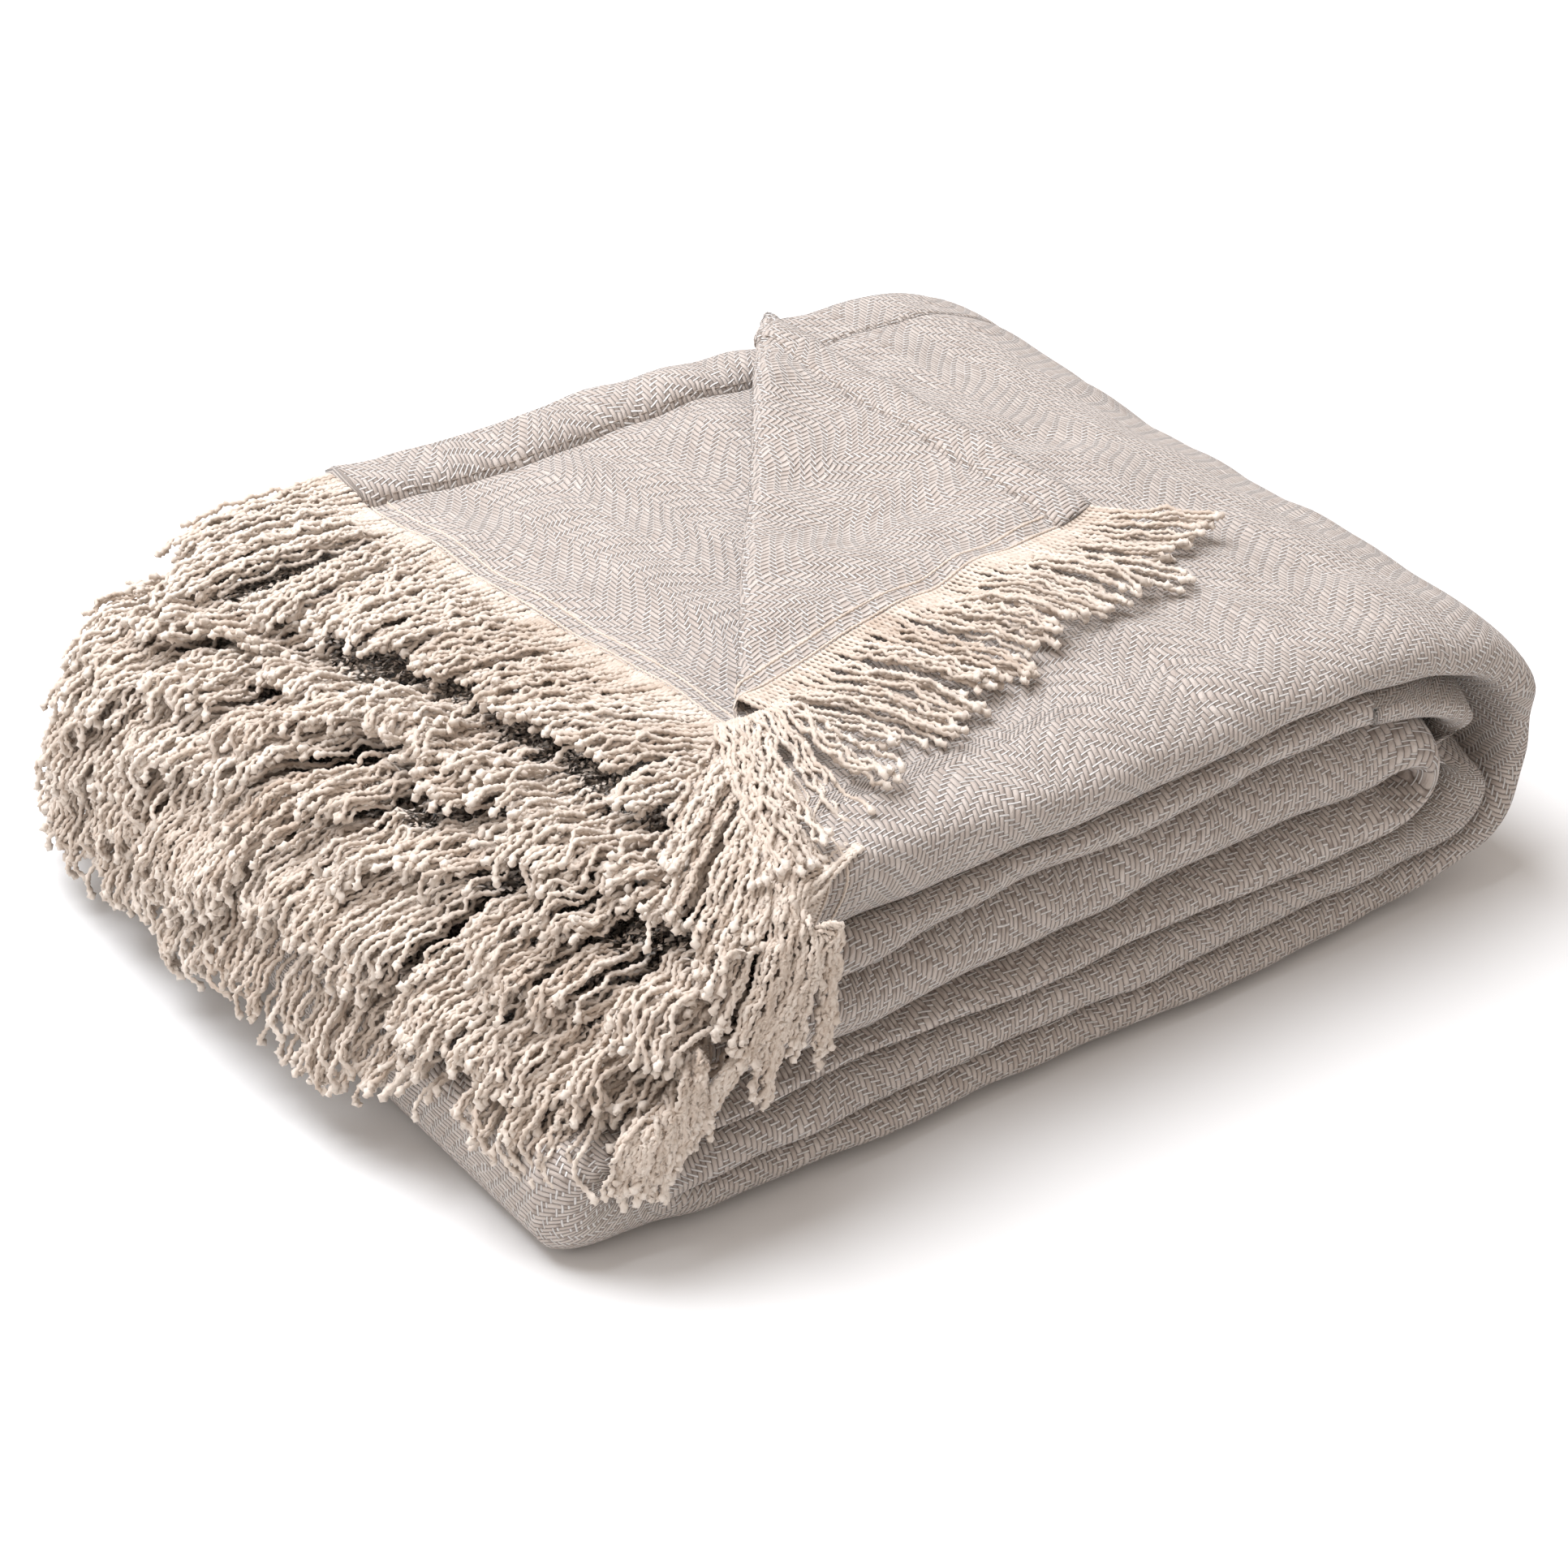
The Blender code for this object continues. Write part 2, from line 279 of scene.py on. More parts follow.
def strip_path():
    """(X, Z) of every point of the grid, before the cloth settles, and the stretch that it is in."""
    top, bottom = height_at(TOP_RUN, DEPTH), height_at(BOTTOM_RUN, DEPTH)
    lower, upper = height_at(LOWER_INNER_RUN, DEPTH), height_at(UPPER_INNER_RUN, DEPTH)
    right, left, inner = (height_at(tips, DEPTH) for tips in (OUTER_TIPS, LEFT_TIPS, INNER_TIPS))
    stretches = (
        run_points(ROWS[TOP], FIRST_HEADER, TURN_START, top),
        turn_points(ROWS[RIGHT_TURN], TURN_START, right, bottom, top, False),
        run_points(ROWS[BOTTOM], TURN_START, LEFT_JOIN, bottom),
        turn_points(ROWS[LEFT_TURN], LEFT_JOIN, left, bottom, lower, True, LEFT_FULLNESS),
        run_points(ROWS[LOWER_INNER], LEFT_JOIN, TURN_START, lower),
        turn_points(ROWS[HAIRPIN], TURN_START, inner, lower, upper, True),
        run_points(ROWS[UPPER_INNER], TURN_START, LAST_HEADER, upper),
    )
    x, z = (np.concatenate([
        np.broadcast_to(found[axis], (count, COLUMN_COUNT)) for found, count in zip(stretches, ROWS)
    ]) for axis in (0, 1))
    stretch = np.repeat(np.arange(len(ROWS)), ROWS)[:, None] + np.zeros((1, COLUMN_COUNT), int)
    return x, z, stretch


# %% [markdown]
# ## The cloth settles
# A pack of cloth is never flat. Its bands swell and sag along the front, the top is a little crowned and
# rippled, and the inner wrap at the right end is pushed in and crumples. A cloth simulation of eight
# layers would take many minutes and move the folds about, so the settling is written as smooth moves.

# %% Settling, used for the cloth and for the places where the yarns start
top_ripples = make_ripples(0.085)
fine_ripples = make_ripples(0.035)
front_waves = make_ripples(0.120)
front_puckers = make_ripples(0.045)


def settle(x, y, z):
    """Moves points from the ruled pack to where the cloth lies."""
    x, y, z = (np.array(v, float) for v in (x, y, z))
    middle = smooth_step(z, 0.030, 0.055) * (1 - smooth_step(z, 0.085, 0.112))
    swell = 0.0065 * hump(x, 0.100, 0.060) - 0.0035 * hump(x, -0.100, 0.075)
    high = smooth_step(z, 0.070, 0.112)
    ripple = 0.0011 * top_ripples(x, y) + 0.0005 * fine_ripples(x, y)
    crown = 0.0022 * (1 - (x / 0.2) ** 2) * (1 - (y / 0.16) ** 2)
    lowering = -0.004 * smooth_step(x, 0.06, 0.17)
    sag = -0.0030 * smooth_step(x, -0.03, -0.10)
    low_end = 0.008 * smooth_step(x, 0.150, 0.196) * (1 - smooth_step(z, 0.0, 0.03))
    moved_z = z + middle * swell + high * (ripple + crown + lowering) + middle * sag + low_end
    near, far = smooth_step(-y, 0.100, 0.150), smooth_step(y, 0.100, 0.150)
    wave = 0.0013 * front_waves(x, z * 2.5) + 0.0005 * front_puckers(x, z * 2)
    rear_wave = 0.0013 * front_waves(x + 0.3, z * 2.5) + 0.0006 * front_puckers(x + 0.2, z * 2)
    moved_y = y + near * wave - 0.0015 * hump(z, 0.020, 0.020) * near
    return x, moved_y + far * rear_wave, moved_z


# %% [markdown]
# ## The turned-back corner
# The outermost layer's corner is folded over along a slanting line, so its wrong side, its hem and its
# fringe lie on top. Each point past the fold line is rolled over a soft radius, then laid back down on
# the other side. The roll is widest at the rear, where the hem makes the fold stand up in a peak.

# %% Turning the corner back
APEX = np.array((0.100, 0.156))
ROOT = np.array((-0.083, -0.082))
FOLD_LENGTH = float(np.linalg.norm(APEX - ROOT))
FOLD_ALONG = (APEX - ROOT) / FOLD_LENGTH
FOLD_OUT = np.array((-FOLD_ALONG[1], FOLD_ALONG[0]))
LYING_RISE = 0.0042  # of the corner's cloth, once it lies flat on the layer below
LAID_OUT, LAID_ALONG = 0.79, 0.21  # how far each metre past the roll comes back out, and slips along


def roll_radius(along):
    """Radius of the roll, from the root of the fold to its apex."""
    share = np.asarray(along) / FOLD_LENGTH
    fuller, sharper = 0.0018 * smooth_step(share, 0.0, 0.35), 0.0012 * smooth_step(share, 0.86, 1.0)
    return 0.0026 + fuller + 0.0020 * hump(share, 0.80, 0.16) - sharper


def turn_back(x, y):
    """(X, Y, rise, is it turned) of points of the outermost layer, with the corner turned back."""
    along = (x - ROOT[0]) * FOLD_ALONG[0] + (y - ROOT[1]) * FOLD_ALONG[1]
    past = (x - ROOT[0]) * FOLD_OUT[0] + (y - ROOT[1]) * FOLD_OUT[1]
    radius = roll_radius(along)
    rolled = np.clip(past / radius, 0.0, math.pi)
    laid = np.maximum(past - math.pi * radius, 0.0)
    out = np.where(past > 0, radius * np.sin(rolled) - LAID_OUT * laid, past)
    lying = LYING_RISE + (2 * radius - LYING_RISE) * np.exp(-laid / 0.030)
    rise = np.where(rolled < math.pi, radius * (1 - np.cos(rolled)), lying)
    along = along - LAID_ALONG * laid
    new_x = ROOT[0] + along * FOLD_ALONG[0] + out * FOLD_OUT[0]
    new_y = ROOT[1] + along * FOLD_ALONG[1] + out * FOLD_OUT[1]
    return new_x, new_y, np.where(past > 0, rise, 0.0), past > 0


def lay_cloth():
    """Every point of the sheet as an array of (row, column, 3)."""
    x, z, stretch = strip_path()
    y = ACROSS + 0.0 * x
    # On the inner runs and the left turn the front fold swells as one roll, with no crease in its middle.
    one_roll = FRONT + 0.013 * np.abs(2 * DEPTH - 1) ** 2.6
    single = np.where(stretch >= LEFT_TURN, 1.0, smooth_step(x, -0.148, -0.170) * (stretch == BOTTOM))
    y = np.where(IN_FRONT_FOLD, y + (one_roll - y) * single, y)
    turned_x, turned_y, rise, turned = turn_back(x, y)
    turned &= (stretch == TOP) & ((PART == OUTERMOST) | (PART == UPPER_FRONT))
    x, y = np.where(turned, turned_x, x), np.where(turned, turned_y, y)
    x, y, z = settle(x, y, z)
    z = z + np.where(turned, rise, 0.0)
    # Where the corner is turned back, the rear edge of the layer under it stands up a little.
    exposed = (stretch == TOP) * (1 - smooth_step(x, 0.06, 0.10)) * (PART == SECOND)
    z = z + 0.0030 * smooth_step(y, 0.116, 0.128) * exposed
    # The middle wrap at the right end is pushed in, which leaves a dark pocket beside the outer wrap.
    front = smooth_step(-y, 0.10, 0.15)
    turn = (stretch == RIGHT_TURN) * front
    inner = smooth_step(DEPTH, 0.50, 0.60) * (1 - 0.6 * smooth_step(DEPTH, 0.7, 1.0))
    inner = inner * (stretch == RIGHT_TURN)
    pinch = hump(z, 0.057, 0.009)
    beside = hump(DEPTH, 0.51, 0.055) * smooth_step(x, 0.135, 0.165)
    pocket = 0.010 + 0.014 * hump(z, 0.060, 0.016)
    x = x - 0.025 * pinch * inner - 0.007 * smooth_step(z, 0.058, 0.074) * inner
    x = x + 0.003 * hump(z, 0.032, 0.010) * inner
    y = y + pocket * beside * turn + 0.010 * pinch * inner * front
    hairpin = (stretch == HAIRPIN) * (1 - smooth_step(DEPTH, 0.05, 0.45))
    y = y + 0.010 * hairpin * smooth_step(x, 0.122, 0.140) * front
    return np.stack([x, y, z], axis=-1)


cloth_points = lay_cloth()
print("cloth spans", cloth_points.min((0, 1)).round(4), cloth_points.max((0, 1)).round(4))

# %% [markdown]
# The weave has to follow the cloth round every fold, so the sheet carries its own map in metres: one
# direction along the strip, and the other across it, counted from the crease in the front fold.


# %% The cloth's own map, in metres
CREASE_AT = 0.40  # across the cloth


def weave_map(points):
    """Distances across and along the cloth at each point. All columns share one distance along it."""
    steps_along = np.linalg.norm(np.diff(points, axis=0), axis=2)
    kept = np.concatenate([[0.0], np.cumsum(np.median(steps_along[:, :100], axis=1))])
    steps_across = np.linalg.norm(np.diff(points, axis=1), axis=2)
    across = np.concatenate([np.zeros((len(points), 1)), np.cumsum(steps_across, axis=1)], axis=1)
    crease = int(np.argmin(np.abs(DEPTH - 0.5) + (PART > LOWER_FRONT)))
    across = across - across[:, crease : crease + 1] + CREASE_AT
    return across, np.broadcast_to(kept[:, None], across.shape)


map_across, map_along = weave_map(cloth_points)


def add_map(piece, values_u, values_v):
    """Gives the piece a UV map in metres, one value for each point."""
    layer = piece.data.uv_layers.new(name="weave")
    corners = np.empty(len(piece.data.loops), np.int32)
    piece.data.loops.foreach_get("vertex_index", corners)
    pairs = np.stack([np.ravel(values_u)[corners], np.ravel(values_v)[corners]], axis=1)
    layer.data.foreach_set("uv", pairs.astype(np.float32).ravel())


throw_cloth = make_mesh("throw_cloth", cloth_points, grid_faces(ROW_COUNT, COLUMN_COUNT))
add_map(throw_cloth, map_across, map_along)
throw_cloth.data.shade_smooth()
print("cloth", len(throw_cloth.data.polygons) * 2, "triangles, mapped", map_along.max().round(3), "m long")

# %% [markdown]
# ## Woven cotton, in a herringbone twill
# Plump taupe weft yarns cross fine cream warp yarns, over two and under two, and the slant turns round
# every twelve weft yarns, which makes zigzag bands across the cloth. The yarns are nearly 2 mm apart,
# coarse enough to show, so the pattern is worked out yarn by yarn from the map: which yarn is on top in
# each cell, how round it is, and how it dives at its ends. The same heights drive the bump and a painted
# shade in the colour: dark brown where a yarn dives and between the yarns, where shade falls.

# %% The weave
WARP_PITCH, WEFT_PITCH = 0.0017, 0.00185
BAND_PICKS = 12.0  # weft yarns before the slant turns round

WEAVE_STEPS = (
    ("a", "DIVIDE", "u", WARP_PITCH),
    ("b", "DIVIDE", "v", WEFT_PITCH),
    ("end", "FLOOR", "a"),
    ("pick", "FLOOR", "b"),
    ("in_end", "FRACT", "a"),
    ("in_pick", "FRACT", "b"),
    ("zigzag", "PINGPONG", "pick", BAND_PICKS),
    ("sum", "ADD", "end", "zigzag"),
    ("step", "FLOORED_MODULO", "sum", 4.0),
    ("warp_up", "LESS_THAN", "step", 1.5),
    ("side", "FLOORED_MODULO", "pick", 2 * BAND_PICKS),
    ("rising", "LESS_THAN", "side", BAND_PICKS - 0.5),
    # How far along its float the warp yarn is, from 0 to 1, whichever way the slant goes.
    ("warp_fall", "SUBTRACT", 1.0, "step"),
    ("warp_gap", "SUBTRACT", "step", "warp_fall"),
    ("warp_mixed", "MULTIPLY_ADD", "warp_gap", "rising", "warp_fall"),
    ("warp_sum", "ADD", "warp_mixed", "in_pick"),
    ("warp_turn", "MULTIPLY", "warp_sum", math.pi / 2),
    ("warp_arch", "SINE", "warp_turn"),
    ("warp_lift", "MULTIPLY_ADD", "warp_arch", 0.50, 0.62),
    # The warp is fine, and lies on the weft like a thread over a cushion.
    ("warp_off", "MULTIPLY_ADD", "in_end", 4.0, -2.0),
    ("warp_square", "MULTIPLY", "warp_off", "warp_off"),
    ("warp_left", "SUBTRACT", 1.0, "warp_square"),
    ("warp_round", "MAXIMUM", "warp_left", 0.0),
    ("warp_body", "MULTIPLY", "warp_round", "warp_lift"),
    ("warp_seen", "MULTIPLY", "warp_body", "warp_up"),
    # The weft is plump. It swells between two warp yarns and dives smoothly under them.
    ("weft_sum", "ADD", "step", "in_end"),
    ("weft_turn", "MULTIPLY_ADD", "weft_sum", math.pi / 2, -1.5 * math.pi),
    ("weft_wave", "COSINE", "weft_turn"),
    ("weft_lift", "MULTIPLY_ADD", "weft_wave", 0.34, 0.58),
    ("weft_off", "MULTIPLY_ADD", "in_pick", 2.0, -1.0),
    ("weft_square", "MULTIPLY", "weft_off", "weft_off"),
    ("weft_left", "SUBTRACT", 1.0, "weft_square"),
    ("weft_round", "POWER", "weft_left", 0.7),
    ("weft_seen", "MULTIPLY", "weft_round", "weft_lift"),
    ("weave_height", "MAXIMUM", "warp_seen", "weft_seen"),
    ("warp_over", "SUBTRACT", "warp_seen", "weft_seen"),
    ("warp_share", "MULTIPLY_ADD", "warp_over", 6.0, 0.5),
)


def run_steps(tree, steps, sockets):
    """Adds one maths node for each step of a table, and keeps its output under the step's name."""
    for name, operation, *operands in steps:
        values = [sockets.get(o, o) if isinstance(o, str) else o for o in operands]
        sockets[name] = add_node(tree, "ShaderNodeMath", values, operation=operation).outputs[0]
    return sockets


def new_material(name):
    material = bpy.data.materials.new(name)
    material.use_nodes = True
    return material, material.node_tree, material.node_tree.nodes["Principled BSDF"]


def set_inputs(shader, values):
    for label, value in values.items():
        shader.inputs[label].default_value = value


def dress_shader(tree, shader, colour, bump, surface):
    """Links a colour and a bump (its strength, depth and height socket), and sets the rest by name."""
    inputs = dict(zip(("Strength", "Distance", "Height"), bump))
    normal = add_node(tree, "ShaderNodeBump", inputs)
    tree.links.new(colour, shader.inputs["Base Color"])
    tree.links.new(normal.outputs[0], shader.inputs["Normal"])
    set_inputs(shader, surface)


def make_herringbone():
    """Brushed cotton yarns: very rough, no gloss, with a soft sheen where fibres stand up at the edges."""
    material, tree, shader = new_material("herringbone_cotton_weave")
    place = add_node(tree, "ShaderNodeUVMap", uv_map="weave")
    parts = add_node(tree, "ShaderNodeSeparateXYZ", (place.outputs[0],))
    # Handspun yarns wander, so the map is bent a little before the yarns are counted.
    wander = add_node(tree, "ShaderNodeTexNoise", {"Vector": place.outputs[0], "Scale": 30.0, "Detail": 2.0})
    bend = add_node(tree, "ShaderNodeSeparateXYZ", (wander.outputs["Color"],))
    sockets = {"u0": parts.outputs[0], "v0": parts.outputs[1], "bu": bend.outputs[0], "bv": bend.outputs[1]}
    bending = (("u", "MULTIPLY_ADD", "bu", 0.008, "u0"), ("v", "MULTIPLY_ADD", "bv", 0.012, "v0"))
    run_steps(tree, bending + WEAVE_STEPS, sockets)
    # Each yarn has its own tone, and that tone drifts along it.
    cell = add_node(tree, "ShaderNodeCombineXYZ", (sockets["end"], sockets["pick"]))
    colours = []
    for scale, dark, light in (
            ((0.9, 0.12, 1.0), "#DDD6D1", "#FFFDFB"),  # warp
            ((0.12, 0.9, 1.0), "#A4958B", "#DFD6CF")):  # weft
        drawn_out = add_node(tree, "ShaderNodeMapping", {"Vector": cell.outputs[0], "Scale": scale})
        colours.append(mix_colours(tree, add_noise(tree, drawn_out.outputs[0], 1.0, 1.0), dark, light))
    top = mix_colours(tree, sockets["warp_share"], colours[1], colours[0], clamp_factor=True)
    sockets["fibre"] = add_noise(tree, place.outputs[0], 1500.0, 3.0, Roughness=0.7)
    # Painted shade: the colour darkens to a dark brown where the weave is low, where yarns dive and between
    # them.
    run_steps(tree, (
        ("gap", "MULTIPLY_ADD", "weave_height", 1.9, 0.05),
        ("painted_gap_shade", "MINIMUM", "gap", 1.0),
        ("fuzz", "MULTIPLY_ADD", "fibre", 0.35, "weave_height"),
    ), sockets)
    dress_shader(
        tree, shader, mix_colours(tree, sockets["painted_gap_shade"], "#57463B", top), (1.0, 0.0010, sockets["fuzz"]),
        {"Roughness": 0.92, "Specular IOR Level": 0.2, "Sheen Weight": 0.25, "Sheen Roughness": 0.5})
    return material


herringbone = make_herringbone()
throw_cloth.data.materials.append(herringbone)

# %% [markdown]
# ## Hems
# The weaver turned each long side over twice and stitched it down, which leaves a flat soft roll about
# 22 mm wide. It could be painted on with bump, but its thickness is what shows along the folded edge. So
# each hem is its own closed strip that follows the first columns of the sheet through every fold.

# %% The two side hems
OUTER_HEM, UNDER_HEM = 0.0017, 0.0040  # half the thickness of each: the second is a soft, full roll
HEM_COLUMNS = 7  # of the grid, under each hem
HEM_OUTWARD = 0.0012  # how far a hem stands out past the edge of the sheet
SKIN = 0.00015  # half a hem's thickness where it is thinnest
UNDERSIDE_SHIFT, HEM_SHIFT = 0.03, 0.0007  # in the map, so that a hem's yarns don't repeat the cloth's
ON_FLOOR = 0.0003
cloth_normals = np.cross(np.gradient(cloth_points, axis=0), np.gradient(cloth_points, axis=1))
cloth_normals /= np.maximum(np.linalg.norm(cloth_normals, axis=2, keepdims=True), 1e-12)


def hem_half(line, full):
    """Half a hem's thickness at each point of a line along it: thinner at the apex and where it lies flat."""
    near_apex = hump(np.hypot(line[:, 0] - APEX[0], line[:, 1] - APEX[1]), 0.0, 0.020)
    flat_top = smooth_step(line[:, 0], 0.11, 0.13) * smooth_step(line[:, 2], 0.09, 0.10)
    return full * (1 - 0.45 * near_apex) * (1 - 0.5 * flat_top)


def make_hem(name, columns, full):
    """A closed, flattened roll along one edge of the sheet, from its outer column to its inner one."""
    share = np.linspace(0.0, 1.0, len(columns))
    profile = np.sqrt(np.clip(1 - np.abs(2 * share - 1) ** 3.2, 0.0, 1.0))
    bulge = hem_half(cloth_points[:, columns[HEM_COLUMNS // 2]], full)[:, None] * profile + SKIN
    edge = cloth_points[:, columns[0]] - cloth_points[:, columns[1]]
    outward = edge / np.linalg.norm(edge, axis=1, keepdims=True) * HEM_OUTWARD
    middle = cloth_points[:, columns] + outward[:, None, :] * (1 - share)[None, :, None]
    lift = cloth_normals[:, columns] * bulge[:, :, None]
    ring = np.concatenate([middle + lift, (middle - lift)[:, ::-1]], axis=1)
    ring[..., 2] = np.maximum(ring[..., 2], ON_FLOOR)
    sides = ring.shape[1]
    faces = grid_faces(ROW_COUNT, sides, ring=True)
    faces.append(tuple(range(sides))[::-1])
    faces.append(tuple(range((ROW_COUNT - 1) * sides, ROW_COUNT * sides)))
    hem = make_mesh(name, ring, faces)
    if columns[0] == 0:
        hem.data.flip_normals()
    across, along = map_across[:, columns], map_along[:, columns]
    across = np.concatenate([across, across[:, ::-1] + UNDERSIDE_SHIFT], axis=1)
    add_map(hem, across + HEM_SHIFT, np.concatenate([along, along], axis=1))
    hem.data.materials.append(herringbone)
    hem.data.shade_smooth()
    return hem


outer_hem = make_hem("outer_layer_hem", range(COLUMN_COUNT)[:HEM_COLUMNS], OUTER_HEM)
inner_hem = make_hem("under_layer_hem", range(COLUMN_COUNT)[: -HEM_COLUMNS - 1 : -1], UNDER_HEM)
print("hems", len(outer_hem.data.polygons), len(inner_hem.data.polygons), "faces")

# %% [markdown]
# ## A yarn, by Geometry Nodes
# Every fringe yarn is two soft plies twisted together, thicker here and thinner there, with a small nub
# at its cut tip. The same yarn runs along thousands of different paths, which is exactly what Geometry
# Nodes are good at. The tree takes bare paths in short even steps, varies the radius, and sweeps a
# two-lobed section that turns as it goes, so that the plies are real shape.


# %% The yarn tree
def open_tree(name, inputs):
    """A new Geometry Nodes tree with named inputs, and its input and output nodes."""
    tree = bpy.data.node_groups.new(name, "GeometryNodeTree")
    tree.interface.new_socket("Geometry", in_out="INPUT", socket_type="NodeSocketGeometry")
    for label, kind, value in inputs:
        made = tree.interface.new_socket(label, in_out="INPUT", socket_type=kind)
        if value is not None:
            made.default_value = value
    tree.interface.new_socket("Geometry", in_out="OUTPUT", socket_type="NodeSocketGeometry")
    return tree, add_node(tree, "NodeGroupInput"), add_node(tree, "NodeGroupOutput")


def close_tree(tree, group_in, group_out, shape):
    """Ends a tree: smooth faces, real copies and a material."""
    smooth = add_node(tree, "GeometryNodeSetShadeSmooth", {"Geometry": shape})
    real = add_node(tree, "GeometryNodeRealizeInstances", {"Geometry": smooth.outputs[0]})
    finish = add_node(tree, "GeometryNodeSetMaterial", {
        "Geometry": real.outputs[0], "Material": group_in.outputs["Material"]})
    tree.links.new(finish.outputs[0], group_out.inputs[0])


def keep_value(tree, shape, name, value):
    """Stores a value at every point of a shape, for the material to read. Returns the shape."""
    inputs = {"Geometry": shape, "Name": name, "Value": value}
    return add_node(
        tree, "GeometryNodeStoreNamedAttribute", inputs, data_type="FLOAT", domain="POINT").outputs[0]


def build_yarn_tree():
    """Bare paths in, twisted yarns out."""
    tree, group_in, group_out = open_tree("twisted_yarn", (
        ("Yarn radius", "NodeSocketFloat", 0.00112),
        ("Ply depth", "NodeSocketFloat", 0.46),
        ("Twist pitch", "NodeSocketFloat", 0.0050),
        ("Slub", "NodeSocketFloat", 0.34),
        ("Slub spacing", "NodeSocketFloat", 0.007),
        ("Seed", "NodeSocketFloat", 3.0),
        ("Material", "NodeSocketMaterial", None),
    ))
    paths = add_node(tree, "GeometryNodeMeshToCurve", {"Mesh": group_in.outputs["Geometry"]})
    spot = add_node(tree, "GeometryNodeSplineParameter")
    whole = add_node(tree, "GeometryNodeSplineLength")
    place = add_node(tree, "GeometryNodeInputPosition")
    often = add_node(tree, "ShaderNodeMath", (1.0, group_in.outputs["Slub spacing"]), operation="DIVIDE")
    noise = add_node(tree, "ShaderNodeTexNoise", {
        "Vector": place.outputs[0], "W": group_in.outputs["Seed"], "Scale": often.outputs[0],
        "Detail": 1.0}, noise_dimensions="4D")
    sockets = {
        "noise": noise.outputs[0], "slub": group_in.outputs["Slub"], "run": spot.outputs["Length"],
        "length": whole.outputs["Length"], "radius": group_in.outputs["Yarn radius"],
        "pitch": group_in.outputs["Twist pitch"], "depth": group_in.outputs["Ply depth"],
    }
    run_steps(tree, (
        ("centred", "SUBTRACT", "noise", 0.5),
        ("doubled", "MULTIPLY", "centred", 2.0),
        ("swell", "MULTIPLY_ADD", "doubled", "slub", 1.0),
        ("to_tip", "SUBTRACT", "length", "run"),
        ("tip_scaled", "MULTIPLY", "to_tip", 900.0),
        ("tip_held", "MINIMUM", "tip_scaled", 1.0),
        ("from_nub", "MULTIPLY_ADD", "to_tip", 400.0, -0.7),
        ("nub_away", "ABSOLUTE", "from_nub"),
        ("nub_near", "SUBTRACT", 1.0, "nub_away"),
        ("nub", "MAXIMUM", "nub_near", 0.0),
        ("tip_closed", "MULTIPLY_ADD", "tip_held", 0.40, 0.60),
        ("tip_shape", "MULTIPLY_ADD", "nub", 0.80, "tip_closed"),
        ("shaped", "MULTIPLY", "swell", "tip_shape"),
        ("wanted", "MULTIPLY", "shaped", "radius"),
        ("turns", "DIVIDE", "run", "pitch"),
        ("tilt", "MULTIPLY", "turns", 2 * math.pi),
    ), sockets)
    thick = add_node(tree, "GeometryNodeSetCurveRadius", {
        "Curve": paths.outputs[0], "Radius": sockets["wanted"]})
    turned = add_node(tree, "GeometryNodeSetCurveTilt", {"Curve": thick.outputs[0], "Tilt": sockets["tilt"]})
    tipped = keep_value(tree, turned.outputs[0], "yarn_nub", sockets["nub"])
    # The section is a circle whose sides are drawn in towards its middle, which leaves two lobes.
    circle = add_node(tree, "GeometryNodeCurvePrimitiveCircle", {
        "Resolution": 4, "Radius": 1.0}, mode="RADIUS")
    apart = add_node(tree, "ShaderNodeSeparateXYZ", (place.outputs[0],))
    sockets["y"] = apart.outputs[1]
    run_steps(tree, (
        ("y_square", "MULTIPLY", "y", "y"),
        ("cut", "MULTIPLY", "y_square", "depth"),
        ("scale", "SUBTRACT", 1.0, "cut"),
    ), sockets)
    lobed = add_node(tree, "ShaderNodeVectorMath", {
        0: place.outputs[0], "Scale": sockets["scale"]}, operation="SCALE")
    section = add_node(tree, "GeometryNodeSetPosition", {
        "Geometry": circle.outputs[0], "Position": lobed.outputs[0]})
    # The valley measure, kept for the material's painted shade between the plies.
    marked = keep_value(tree, section.outputs[0], "yarn_valley", sockets["y_square"])
    swept = add_node(tree, "GeometryNodeCurveToMesh", {
        "Curve": tipped, "Profile Curve": marked, "Fill Caps": True})
    if "Scale" in swept.inputs:
        radius = add_node(tree, "GeometryNodeInputRadius")
        tree.links.new(radius.outputs[0], swept.inputs["Scale"])
    close_tree(tree, group_in, group_out, swept.outputs[0])
    return tree


yarn_tree = build_yarn_tree()


def grow(piece, tree, settings):
    """Runs a tree on a mesh of bare paths and keeps its result as a plain mesh."""
    modifier = piece.modifiers.new(tree.name, "NODES")
    modifier.node_group = tree
    for socket in tree.interface.items_tree:
        if socket.in_out == "INPUT" and socket.name in settings:
            modifier[socket.identifier] = settings[socket.name]
    graph = bpy.context.evaluated_depsgraph_get()
    grown = bpy.data.meshes.new_from_object(piece.evaluated_get(graph), depsgraph=graph)
    piece.modifiers.remove(modifier)
    bare, piece.data = piece.data, grown
    grown.name = bare.name + "_grown"
    bpy.data.meshes.remove(bare)
    return piece
